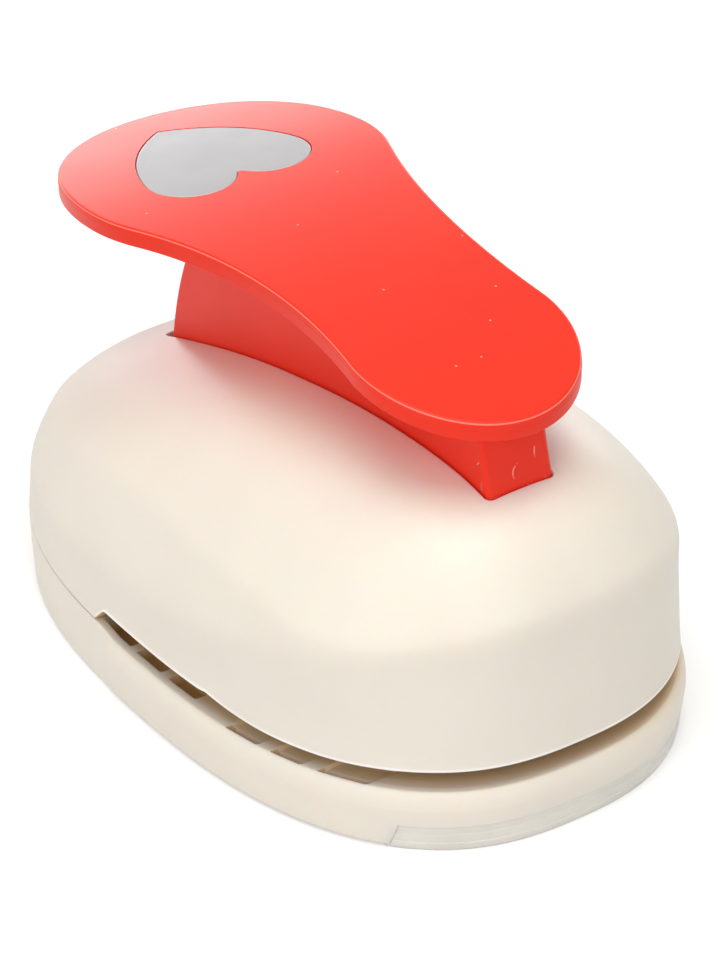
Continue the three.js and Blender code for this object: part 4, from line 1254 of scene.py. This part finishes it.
class Tree:
    """Short way to add linked nodes to a node tree."""

    def __init__(self, tree):
        self.tree = tree

    def plug(self, value, node, key):
        """Links a node or socket to an input, or sets a plain value there."""
        if isinstance(value, bpy.types.Node):
            value = value.outputs[0]
        if isinstance(value, bpy.types.NodeSocket):
            self.tree.links.new(value, node.inputs[key])
        else:
            node.inputs[key].default_value = value

    def add(self, kind, inputs=None, **settings):
        """Adds a node, sets it up and returns it."""
        node = self.tree.nodes.new(kind)
        for key, value in settings.items():
            setattr(node, key, value)
        for key, value in (inputs or {}).items():
            self.plug(value, node, key)
        return node

    def math(self, operation, *values):
        """A math node on numbers or sockets."""
        return self.add("ShaderNodeMath", dict(enumerate(values)), operation=operation)

    def vector(self, **parts):
        """A vector from its X, Y and Z."""
        return self.add("ShaderNodeCombineXYZ", parts)

    def parts(self, vector):
        """The X, Y and Z of a vector."""
        return self.add("ShaderNodeSeparateXYZ", {"Vector": vector}).outputs


def node_group(name, sizes):
    """Geometry node tree with a geometry input, named sizes and a geometry output."""
    group = bpy.data.node_groups.new(name, "GeometryNodeTree")
    group.interface.new_socket("Geometry", in_out="INPUT", socket_type="NodeSocketGeometry")
    for title in sizes:
        kind = "NodeSocketInt" if title in ("Turns", "Sides") else "NodeSocketFloat"
        if title == "Material":
            kind = "NodeSocketMaterial"
        group.interface.new_socket(title, in_out="INPUT", socket_type=kind)
    group.interface.new_socket("Geometry", in_out="OUTPUT", socket_type="NodeSocketGeometry")
    tree = Tree(group)
    return tree, tree.add("NodeGroupInput").outputs, group


def repeat(name, places, make_tree, sizes):
    """Object whose places carry what a geometry node tree makes, as one plain mesh."""
    piece = raw_object(name, ([tuple(p) for p in places], []))
    modifier = piece.modifiers.new("Build", "NODES")
    group = make_tree(sizes)
    modifier.node_group = group
    for item in group.interface.items_tree:
        if item.in_out == "INPUT" and item.name in sizes:
            modifier[item.identifier] = sizes[item.name]
    settle(piece)
    return piece


def finish_tree(tree, shape, inputs):
    """Puts a shape on every point and gives it its material."""
    spread = tree.add("GeometryNodeInstanceOnPoints", {"Points": inputs["Geometry"], "Instance": shape})
    real = tree.add("GeometryNodeRealizeInstances", {"Geometry": spread})
    painted = tree.add("GeometryNodeSetMaterial", {"Geometry": real, "Material": inputs["Material"]})
    tree.add("NodeGroupOutput", {"Geometry": painted})


COIL_STEPS = 40
WIRE_SIDES = 14
HEAD_SEGMENTS = 10
HEAD_RINGS = 4
SHANK_SIDES = 32
HEAD_BULGE = 3
HEAD_ROUND_SHARE = 0.5
CROSS_LENGTH_SHARE = 1.1
CROSS_WIDTH_SHARE = 0.24
CROSS_DEPTH_SHARE = -0.6


def coil_tree(sizes):
    """Tree of a helical spring."""
    tree, inputs, group = node_group("Coil", sizes)
    helix = tree.add("GeometryNodeCurveSpiral", {
        "Resolution": COIL_STEPS,
        "Rotations": inputs["Turns"],
        "Start Radius": inputs["Coil radius"],
        "End Radius": inputs["Coil radius"],
        "Height": inputs["Height"],
    })
    wire = tree.add("GeometryNodeCurvePrimitiveCircle", {
        "Resolution": WIRE_SIDES,
        "Radius": inputs["Wire radius"],
    })
    body = tree.add("GeometryNodeCurveToMesh", {"Curve": helix, "Profile Curve": wire, "Fill Caps": True})
    finish_tree(tree, body, inputs)
    return group


def screw_tree(sizes):
    """Tree of a pan-head screw with a cross recess, its head down."""
    tree, inputs, group = node_group("Screw", sizes)

    def scaled(title, factor):
        """A share of one of the screw's sizes."""
        return tree.math("MULTIPLY", inputs[title], factor)

    def moved(shape, **change):
        """A shape that is shifted or turned."""
        return tree.add("GeometryNodeTransform", {"Geometry": shape, **change})

    head = tree.add("GeometryNodeMeshCylinder", {
        "Vertices": DRUM_SIDES,
        "Side Segments": HEAD_SEGMENTS,
        "Fill Segments": HEAD_RINGS,
        "Radius": inputs["Head radius"],
        "Depth": inputs["Head height"],
    })
    place = tree.add("GeometryNodeInputPosition")
    low = tree.math("DIVIDE", tree.parts(place)["Z"], scaled("Head height", 0.5))
    sunk = tree.math("MAXIMUM", tree.math("MULTIPLY", low, -1), 0)
    drawn_in = tree.math("MULTIPLY", tree.math("POWER", sunk, HEAD_BULGE), HEAD_ROUND_SHARE)
    round_share = tree.math("SQRT", tree.math("SUBTRACT", 1, drawn_in))
    scale = tree.vector(X=round_share, Y=round_share, Z=1.0)
    shaped = tree.add("ShaderNodeVectorMath", {0: place, 1: scale}, operation="MULTIPLY")
    whole_head = tree.add("GeometryNodeSetPosition", {"Geometry": head, "Position": shaped})
    arm = tree.add("GeometryNodeMeshCube", {"Size": tree.vector(
        X=scaled("Head radius", CROSS_LENGTH_SHARE),
        Y=scaled("Head radius", CROSS_WIDTH_SHARE),
        Z=inputs["Head height"],
    )})
    lift = tree.vector(Z=scaled("Head height", CROSS_DEPTH_SHARE))
    for turn in (0, math.pi / 2):
        cutter = moved(arm, Translation=lift, Rotation=(0, 0, turn))
        cut = {"Mesh 1": whole_head, "Mesh 2": cutter}
        whole_head = tree.add("GeometryNodeMeshBoolean", cut, operation="DIFFERENCE")
    shank = tree.add("GeometryNodeMeshCylinder", {
        "Vertices": SHANK_SIDES,
        "Radius": inputs["Shank radius"],
        "Depth": inputs["Length"],
    })
    whole = tree.add("GeometryNodeJoinGeometry")
    tree.plug(whole_head, whole, 0)
    tree.plug(moved(shank, Translation=tree.vector(Z=scaled("Length", 0.5))), whole, 0)
    finish_tree(tree, moved(whole, Rotation=tree.vector(X=inputs["Turn"])), inputs)
    return group


def build_springs(dies):
    """Four helical springs that shorten with the punch."""
    low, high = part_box(SPRINGS[0])
    wire = dies.wire
    places = [(middle_of(node).x, middle_of(node).y, low.z + wire) for node in SPRINGS]
    material = spring_wire()
    springs = repeat("return_springs", places, coil_tree, {
        "Turns": dies.turns,
        "Coil radius": dies.coil,
        "Wire radius": wire,
        "Height": high.z - low.z - 2 * wire,
        "Material": material,
    })
    springs.data.shade_smooth()
    springs.data.set_sharp_from_angle(angle=math.radians(WIRE_ANGLE))
    dress(springs, material, "base", "spring", *SPRINGS)
    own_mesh(springs)


def build_screws(name, nodes, body, heads_down, screws):
    """Screws of one kind, with their heads below or above."""
    low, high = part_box(nodes[0])
    head_z = low.z if heads_down else high.z
    middle = head_z + (1 if heads_down else -1) * screws.head_height / 2
    places = [(middle_of(node).x, middle_of(node).y, middle) for node in nodes]
    material = zinc_plating()
    piece = repeat(name, places, screw_tree, {
        "Head radius": screws.head,
        "Head height": screws.head_height,
        "Shank radius": screws.shank,
        "Length": high.z - low.z - screws.head_height / 2,
        "Turn": 0.0 if heads_down else math.pi,
        "Material": material,
    })
    smooth(piece, PLAIN_ANGLE)
    dress(piece, material, body, "screw", *nodes)


# Finishes


def empty_tree(owner):
    """The cleared node tree of a material or of the world."""
    owner.use_nodes = True
    owner.node_tree.nodes.clear()
    return Tree(owner.node_tree)


def new_finish(name):
    """Material with a shader, its tree and the object's own coordinates."""
    material = bpy.data.materials.new(name)
    tree = empty_tree(material)
    shader = tree.add("ShaderNodeBsdfPrincipled")
    tree.add("ShaderNodeOutputMaterial", {"Surface": shader})
    return material, tree, shader, tree.add("ShaderNodeTexCoord").outputs["Object"]


MIX_FACTOR, MIX_FIRST, MIX_SECOND, MIX_RESULT = 0, 6, 7, 2


def mix(tree, factor, first, second):
    """Colour mix of two colours or sockets."""
    values = {MIX_FACTOR: factor, MIX_FIRST: first, MIX_SECOND: second}
    return tree.add("ShaderNodeMix", values, data_type="RGBA").outputs[MIX_RESULT]


def whole_colour(values, factor=1.0):
    """A colour property with full cover, at a share of its level."""
    return tuple(min(1.0, value * factor) for value in values) + (1.0,)


def outline_share(tree, place, body):
    """How far a point lies from the body's middle, as a share of the way to its outline."""
    parts = tree.parts(place)
    across = tree.math("DIVIDE", tree.math("ABSOLUTE", parts["X"]), body.half_width)
    shifted = tree.math("SUBTRACT", parts["Y"], MIDDLE)
    along = tree.math("DIVIDE", tree.math("ABSOLUTE", shifted), body.half_length)
    reach = tree.math("ADD", tree.math("POWER", across, body.power), tree.math("POWER", along, body.power))
    return tree.math("POWER", reach, 1 / body.power)


# Noise of the finishes: its detail, and half the range of it that is used.
CLOUD_DETAIL = 2.0
CLOUD_SPREAD = 0.15
WIDE_SPREAD = 0.2
GLOSS_DETAIL = 4.0
GLOSS_SPREAD = 0.3
GRAIN_DETAIL = 3.0


def drift(tree, place, scale, spread, detail, low=0.0, high=1.0):
    """Soft noise that wanders between two values."""
    noise = tree.add("ShaderNodeTexNoise", {"Vector": place, "Scale": scale, "Detail": detail})
    limits = {"From Min": 0.5 - spread, "From Max": 0.5 + spread, "To Min": low, "To Max": high}
    return tree.add("ShaderNodeMapRange", {"Value": noise, **limits})


def clouded(tree, place, tint, scale, share_left, spread=CLOUD_SPREAD):
    """A colour that drifts softly to a share of its level."""
    clouds = drift(tree, place, scale, spread, CLOUD_DETAIL)
    return mix(tree, clouds, whole_colour(tint), whole_colour(tint, share_left))


def specks(tree, place, scale, size, share_shown):
    """Small round spots scattered over a surface, as a mask."""
    cells = tree.add("ShaderNodeTexVoronoi", {"Vector": place, "Scale": scale})
    inside = tree.math("LESS_THAN", cells.outputs["Distance"], size)
    chosen = tree.add("ShaderNodeSeparateColor", {"Color": cells.outputs["Color"]})
    shown = tree.math("LESS_THAN", chosen.outputs["Red"], share_shown)
    return tree.math("MULTIPLY", inside, shown)


# Scratches on the stem: how high they reach, their noise, and where they break off.
SCUFF_TOP = 0.087
SCUFF_SCALE = 160.0
SCUFF_WIDTH_SHARE = 0.016
SCUFF_BREAKS = {"Scale": 330.0, "Detail": 2.0}
SCUFF_LIMITS = {"From Min": 0.5, "From Max": 0.62, "To Max": 0.5}


def scuffs(tree, place, lever):
    """Thin curved scratches on the front of the lever's stem, as a mask."""
    where = tree.parts(place)
    in_front = tree.math("LESS_THAN", where["Y"], MIDDLE + lever.stem_front + lever.stem_lean)
    near = tree.math("MULTIPLY", in_front, tree.math("LESS_THAN", where["Z"], SCUFF_TOP))
    noise = tree.add("ShaderNodeTexNoise", {"Vector": place, "Scale": SCUFF_SCALE, "Detail": 0.0})
    middle = tree.math("ABSOLUTE", tree.math("SUBTRACT", noise, 0.5))
    line = tree.math("LESS_THAN", middle, SCUFF_WIDTH_SHARE)
    broken = tree.add("ShaderNodeTexNoise", {"Vector": place, **SCUFF_BREAKS})
    shown = tree.add("ShaderNodeMapRange", {"Value": broken, **SCUFF_LIMITS})
    return tree.math("MULTIPLY", tree.math("MULTIPLY", near, line), shown)


def roughen(tree, shader, height, strength, distance):
    """Fine bump on a shader."""
    bump = tree.add("ShaderNodeBump", {"Height": height, "Strength": strength, "Distance": distance})
    tree.plug(bump, shader, "Normal")


def coat(tree, shader, place, tone, gloss, grain, glow=None):
    """Finish of a plastic: gloss (scale, low, high), grain (scale, strength, height), glow (weight, reach)"""
    tree.plug(tone, shader, "Base Color")
    scale, *levels = gloss
    tree.plug(drift(tree, place, scale, GLOSS_SPREAD, GLOSS_DETAIL, *levels), shader, "Roughness")
    scale, *bump = grain
    noise = tree.add("ShaderNodeTexNoise", {"Vector": place, "Scale": scale, "Detail": GRAIN_DETAIL})
    roughen(tree, shader, noise, *bump)
    if glow:
        for name, value in zip(("Weight", "Radius", "Scale"), (*glow, 1.0)):
            shader.inputs[f"Subsurface {name}"].default_value = value


def plastic(name, tint, clouds, gloss, grain, glow=None):
    """Plastic of one colour; clouds is their scale and the share of its level that it drifts to."""
    material, tree, shader, place = new_finish(name)
    coat(tree, shader, place, clouded(tree, place, tint, *clouds), gloss, grain, glow)
    return material


def finishes():
    """The colours of this scene."""
    return bpy.context.scene.punch_finishes


def once(make):
    """Makes a finish the first time that it is asked for and keeps it."""
    made = {}

    def get(*sizes):
        if make.__name__ not in made:
            made[make.__name__] = make(*sizes)
        return made[make.__name__]

    get.__doc__ = make.__doc__
    return get


# Painted shade in the throat: how much earlier it starts for each metre to the right, its foot and its depth.
SHADE_DRIFT = 0.5
SHADE_FOOT = 0.0128
SHADE_DEPTH_SHARE = 0.04
MOULD_GLOSS_SCALE = 150
MOULD_GRAIN = (2200, 0.12, 0.00006)
FINE_GRAIN = (2600, 0.1, 0.00005)
METAL_GRAIN = (0.15, 0.00004)
METAL_CLOUD_SHARE = 0.86
FLECK_SHARE = 0.5
RED_SPECULAR = 0.2


@once
def cream_moulding(body):
    """Satin cream plastic with a fine moulded grain, warmer inside the throat"""
    material, tree, shader, place = new_finish("cream_moulding")
    parts = tree.parts(place)
    inward = tree.math("SUBTRACT", 1.0, outline_share(tree, place, body))
    inward = tree.math("ADD", inward, tree.math("MULTIPLY", parts["X"], SHADE_DRIFT))
    inside = tree.add("ShaderNodeMapRange", {"Value": inward, "From Max": SHADE_DEPTH_SHARE})
    low = tree.math("LESS_THAN", parts["Z"], body.throat + body.lift)
    high = tree.math("GREATER_THAN", parts["Z"], SHADE_FOOT)
    shaded = tree.math("MULTIPLY", inside, tree.math("MULTIPLY", low, high))
    cream = clouded(tree, place, finishes().cream, scale=35, share_left=0.975)
    # Painted shade: tan mixed into the cream under the throat's edge and above the foot.
    tone = mix(tree, shaded, cream, whole_colour(finishes().inside))
    glow = (0.3, (0.006, 0.0032, 0.0014))
    coat(tree, shader, place, tone, gloss=(60, 0.4, 0.46), grain=(3200, 0.12, 0.00006), glow=glow)
    return material


@once
def inner_shade():
    """Deep tan of the cream plastic in narrow shaded places"""
    return plain_moulding("inner_shade", finishes().shade, low=0.5, high=0.65)


@once
def pocket_shade(tray):
    """Tan of the deep pockets and grooves, lighter towards their top"""
    material, tree, shader, place = new_finish("pocket_shade")
    # Painted shade: darker towards the foot of each pocket.
    limits = {"From Min": tray.ledge - tray.deep_depth, "From Max": tray.ledge}
    up = tree.add("ShaderNodeMapRange", {"Value": tree.parts(place)["Z"], **limits})
    tone = mix(tree, up, whole_colour(finishes().pocket), whole_colour(finishes().inside))
    coat(tree, shader, place, tone, gloss=(MOULD_GLOSS_SCALE, 0.5, 0.6), grain=MOULD_GRAIN)
    return material


@once
def polished_line():
    """Bright line where the mould's halves met"""
    return plain_moulding("polished_line", finishes().line, low=0.25, high=0.35)


@once
def worn_rim():
    """Pale red of the lever's worn edges"""
    return plain_moulding("worn_rim", finishes().rim, low=0.25, high=0.35)


@once
def red_moulding(lever):
    """Satin red plastic with small white flecks and scuffs on the stem's front"""
    material, tree, shader, place = new_finish("red_moulding")
    fleck = whole_colour(finishes().fleck)
    spots = specks(tree, place, scale=130, size=0.036, share_shown=0.5)
    tone = clouded(tree, place, finishes().red, scale=30, share_left=0.95)
    tone = mix(tree, tree.math("MULTIPLY", spots, FLECK_SHARE), tone, fleck)
    tone = mix(tree, scuffs(tree, place, lever), tone, fleck)
    glow = (0.08, (0.002, 0.0004, 0.0003))
    coat(tree, shader, place, tone, gloss=(60, 0.34, 0.37), grain=FINE_GRAIN, glow=glow)
    shader.inputs["Specular IOR Level"].default_value = RED_SPECULAR
    return material


@once
def printed_heart():
    """Satin grey of the inlay"""
    gloss = (MOULD_GLOSS_SCALE, 0.4, 0.5)
    return plastic("printed_heart", finishes().grey, clouds=(60, 0.96), gloss=gloss, grain=FINE_GRAIN)


@once
def printed_rim():
    """Lighter bevel round the grey heart"""
    return plain_moulding("printed_rim", finishes().bevel_highlight_grey, low=0.35, high=0.45)


@once
def soft_vinyl():
    """Slightly clear soft vinyl with a matt bloom"""
    return plastic(
        "soft_vinyl",
        finishes().vinyl,
        clouds=(80, 0.93),
        gloss=(200, 0.3, 0.45),
        grain=(1800, 0.15, 0.00008),
        glow=(0.35, (0.002, 0.002, 0.0018)),
    )


@once
def dark_rubber():
    """Matt rubber with a dusty bloom"""
    return plastic(
        "dark_rubber",
        finishes().rubber,
        clouds=(220, 1.8, WIDE_SPREAD),
        gloss=(300, 0.75, 0.95),
        grain=(2400, 0.3, 0.0001),
    )


def metal(name, tint, low, high, stretch):
    """Metal with a fine directional grain"""
    material, tree, shader, place = new_finish(name)
    drawn = tree.add("ShaderNodeMapping", {"Vector": place, "Scale": stretch})
    streaks = drift(tree, drawn, 1.0, WIDE_SPREAD, GLOSS_DETAIL)
    tone = mix(tree, streaks, whole_colour(tint), whole_colour(tint, METAL_CLOUD_SHARE))
    tree.plug(tone, shader, "Base Color")
    shader.inputs["Metallic"].default_value = 1.0
    spread = tree.add("ShaderNodeMapRange", {"Value": streaks, "To Min": low, "To Max": high})
    tree.plug(spread, shader, "Roughness")
    roughen(tree, shader, streaks, *METAL_GRAIN)
    return material


@once
def ground_steel():
    """Ground steel of the plates, posts and pins"""
    return metal("ground_steel", finishes().steel, low=0.28, high=0.42, stretch=(300, 4200, 4200))


@once
def zinc_plating():
    """Bright zinc of the screws"""
    return metal("zinc_plating", finishes().zinc, low=0.25, high=0.4, stretch=(900, 900, 900))


@once
def spring_wire():
    """Drawn wire of the springs and clips"""
    return metal("spring_wire", finishes().wire, low=0.22, high=0.35, stretch=(2500, 2500, 2500))


def plain_moulding(name, tint, low, high):
    """Satin technical plastic"""
    gloss = (MOULD_GLOSS_SCALE, low, high)
    return plastic(name, tint, clouds=(70, 0.94), gloss=gloss, grain=MOULD_GRAIN)


@once
def white_moulding():
    """White plastic of the punch carrier"""
    return plain_moulding("white_moulding", finishes().white, low=0.4, high=0.52)


@once
def nylon_moulding():
    """Natural nylon of the bushes"""
    return plain_moulding("nylon_moulding", finishes().nylon, low=0.35, high=0.48)


FINISH_OF = {
    "hinge_clip": spring_wire,
    "hinge_bush": nylon_moulding,
    "punch_carrier": white_moulding,
}


def finish_packed_parts():
    """Gives every packed part the finish of its kind, which is steel for most."""
    for name, node in frame["nodes"].items():
        make = next((finish for kind, finish in FINISH_OF.items() if name.startswith(kind)), ground_steel)
        node.data.materials.clear()
        node.data.materials.append(make())


# Stage


NEAREST = 0.01
FLOOR_HALF = 3.0
FLOOR_COLOUR = (0.8, 0.8, 0.8, 1)
WHITE = (1, 1, 1, 1)

# Power setting, place, width, height and colour of each lamp.
LAMPS = (
    ("above", (-0.1, -0.12, 1.5), 1.1, 1.1, (1, 1, 0.96)),
    ("left", (-1.5, -0.3, 0.7), 1.2, 1.2, (1, 0.95, 1)),
    ("front", (-0.2, -1.5, 0.8), 1.2, 1.2, (1, 0.95, 1)),
    ("corner", (-0.75, -0.95, 1.0), 0.7, 0.7, (1, 0.95, 1)),
    ("sheen", (0.8, 1.25, 0.25), 1.6, 0.45, (1, 1, 1)),
)


def set_camera(stage):
    """Camera at the photograph's place, turn and framing."""
    azimuth, elevation = math.radians(stage.azimuth), math.radians(stage.elevation)
    away = Vector((
        math.sin(azimuth) * math.cos(elevation),
        -math.cos(azimuth) * math.cos(elevation),
        math.sin(elevation),
    ))
    target = Vector((0, MIDDLE, stage.target_height))
    right = Vector((0, 0, 1)).cross(away).normalized()
    up = away.cross(right)
    roll = math.radians(stage.roll)
    across = right * math.cos(roll) + up * math.sin(roll)
    upward = up * math.cos(roll) - right * math.sin(roll)
    camera = bpy.data.cameras.new("camera")
    camera.lens = stage.lens
    camera.shift_x = stage.shift_x
    camera.shift_y = stage.shift_y
    camera.clip_start = NEAREST
    body = bpy.data.objects.new("camera", camera)
    bpy.context.scene.collection.objects.link(body)
    turn = Matrix((across, upward, away)).transposed().to_4x4()
    body.matrix_world = Matrix.Translation(target + away * stage.distance) @ turn
    bpy.context.scene.camera = body


def add_lamps(stage):
    """Large soft lamps that face the punch; the sheen lamp only shows as gloss."""
    for name, place, width, height, tint in LAMPS:
        lamp = bpy.data.lights.new(f"lamp_{name}", "AREA")
        lamp.shape = "RECTANGLE"
        lamp.size = width
        lamp.size_y = height
        lamp.energy = getattr(stage, name)
        lamp.color = tint
        body = bpy.data.objects.new(lamp.name, lamp)
        bpy.context.scene.collection.objects.link(body)
        body.location = place
        body.rotation_euler = (-Vector(place)).to_track_quat("-Z", "Y").to_euler()
        body.visible_diffuse = name != "sheen"


def seen_rays(tree):
    """Mask that is 1 for what the camera, gloss and glass show."""
    path = tree.add("ShaderNodeLightPath").outputs
    seen = tree.math("MAXIMUM", path["Is Camera Ray"], path["Is Glossy Ray"])
    return tree.math("MAXIMUM", seen, path["Is Transmission Ray"])


def set_world(stage):
    """Even light that shows as white behind the punch."""
    world = bpy.data.worlds.new("studio")
    bpy.context.scene.world = world
    tree = empty_tree(world)
    strength = tree.add("ShaderNodeMapRange", {"Value": seen_rays(tree), "To Min": stage.sky, "To Max": 1.0})
    light = tree.add("ShaderNodeBackground", {"Color": WHITE, "Strength": strength})
    tree.add("ShaderNodeOutputWorld", {"Surface": light})


def add_floor(stage, body):
    """Pale floor that keeps the punch's shadow and shows as white, but not under the base."""
    half = FLOOR_HALF
    corners = [(-half, -half, 0), (half, -half, 0), (half, half, 0), (-half, half, 0)]
    floor = raw_object("floor", (corners, [(0, 1, 2, 3)]))
    material = bpy.data.materials.new("pale_floor")
    tree = empty_tree(material)
    paper = tree.add("ShaderNodeBsdfDiffuse", {"Color": FLOOR_COLOUR})
    place = tree.add("ShaderNodeTexCoord").outputs["Object"]
    outside = tree.math("GREATER_THAN", outline_share(tree, place, body), stage.glow_reach)
    distance = tree.add("ShaderNodeVectorMath", {0: place}, operation="LENGTH")
    level = tree.add("ShaderNodeMapRange", {
        "Value": distance.outputs["Value"],
        "From Min": body.half_length,
        "From Max": stage.far_reach,
        "To Min": stage.glow,
        "To Max": stage.glow + stage.far_glow,
    })
    strength = tree.math("MULTIPLY", tree.math("MULTIPLY", seen_rays(tree), outside), level)
    glow = tree.add("ShaderNodeEmission", {"Color": WHITE, "Strength": strength})
    both = tree.add("ShaderNodeAddShader", {0: paper, 1: glow})
    tree.add("ShaderNodeOutputMaterial", {"Surface": both})
    floor.data.materials.append(material)


# Operators and panel


class PUNCH_OT_packed_parts(bpy.types.Operator):
    """Give every packed part its finish"""

    bl_idname = "punch.packed_parts"
    bl_label = "Packed parts"

    def execute(self, context):
        finish_packed_parts()
        return {"FINISHED"}


class PUNCH_OT_housing(bpy.types.Operator):
    """Build the cream housing"""

    bl_idname = "punch.housing"
    bl_label = "Housing"

    def execute(self, context):
        scene = context.scene
        build_housing(scene.punch_body, scene.punch_tray, scene.punch_lever, scene.punch_screws)
        return {"FINISHED"}


class PUNCH_OT_base(bpy.types.Operator):
    """Build the base, its front strip and its feet"""

    bl_idname = "punch.base"
    bl_label = "Base"

    def execute(self, context):
        scene = context.scene
        build_tray(scene.punch_body, scene.punch_tray, scene.punch_dies, scene.punch_screws)
        build_grip(scene.punch_body, scene.punch_tray)
        build_feet(scene.punch_tray)
        return {"FINISHED"}


class PUNCH_OT_lever(bpy.types.Operator):
    """Build the red lever and its grey heart"""

    bl_idname = "punch.lever"
    bl_label = "Lever"

    def execute(self, context):
        scene = context.scene
        build_lever(scene.punch_lever)
        build_inlay(scene.punch_lever)
        return {"FINISHED"}


class PUNCH_OT_springs(bpy.types.Operator):
    """Build the four return springs"""

    bl_idname = "punch.springs"
    bl_label = "Springs"

    def execute(self, context):
        scene = context.scene
        build_springs(scene.punch_dies)
        return {"FINISHED"}


class PUNCH_OT_screws(bpy.types.Operator):
    """Build all screws"""

    bl_idname = "punch.screws"
    bl_label = "Screws"

    def execute(self, context):
        scene = context.scene
        for name, nodes, body, heads_down in (
            ("case_screws", CASE_SCREWS, "base", True),
            ("die_screws_front", DIE_SCREWS[:2], "base", True),
            ("die_screws_rear", DIE_SCREWS[2:], "base", True),
            ("bracket_screws", BRACKET_SCREWS, "base", False),
            ("blade_screws", BLADE_SCREWS, "punch", False),
        ):
            build_screws(name, nodes, body, heads_down, scene.punch_screws)
        return {"FINISHED"}


class PUNCH_OT_stage(bpy.types.Operator):
    """Set up the camera, the floor and the lights"""

    bl_idname = "punch.stage"
    bl_label = "Stage"

    def execute(self, context):
        scene = context.scene
        stage = scene.punch_stage
        scene.view_settings.view_transform = "Standard"
        set_camera(stage)
        set_world(stage)
        add_floor(stage, scene.punch_body)
        add_lamps(stage)
        return {"FINISHED"}


OPERATORS = [
    PUNCH_OT_packed_parts,
    PUNCH_OT_housing,
    PUNCH_OT_base,
    PUNCH_OT_lever,
    PUNCH_OT_springs,
    PUNCH_OT_screws,
    PUNCH_OT_stage,
]


class PUNCH_PT_panel(bpy.types.Panel):
    """Panel of the craft punch"""

    bl_idname = "PUNCH_PT_panel"
    bl_label = "Heart Craft Punch"
    bl_space_type = "VIEW_3D"
    bl_region_type = "UI"
    bl_category = "Punch"

    def draw(self, context):
        for name in GROUPS:
            box = self.layout.box()
            box.label(text=GROUPS[name].__doc__)
            group = getattr(context.scene, name)
            for size in group.bl_rna.properties:
                if size.identifier not in ("rna_type", "name"):
                    box.prop(group, size.identifier)
        for operator in OPERATORS:
            self.layout.operator(operator.bl_idname)


GROUPS = {
    "punch_body": BodySizes,
    "punch_tray": TraySizes,
    "punch_lever": LeverSizes,
    "punch_dies": DieSizes,
    "punch_screws": ScrewSizes,
    "punch_finishes": PunchFinishes,
    "punch_stage": StageSettings,
}


def register():
    """Adds the classes and the settings."""
    for kind in [*GROUPS.values(), *OPERATORS, PUNCH_PT_panel]:
        bpy.utils.register_class(kind)
    for name, kind in GROUPS.items():
        setattr(bpy.types.Scene, name, PointerProperty(type=kind))


def unregister():
    """Removes the settings and the classes."""
    for name in GROUPS:
        delattr(bpy.types.Scene, name)
    for kind in [PUNCH_PT_panel, *OPERATORS, *GROUPS.values()]:
        bpy.utils.unregister_class(kind)


def main():
    """Builds everything and writes the boxes of the packed and the finished punch."""
    register()
    for name in ("packed_parts", "housing", "base", "lever", "springs", "screws", "stage"):
        getattr(bpy.ops.punch, name)()


if __name__ == "__main__":
    main()
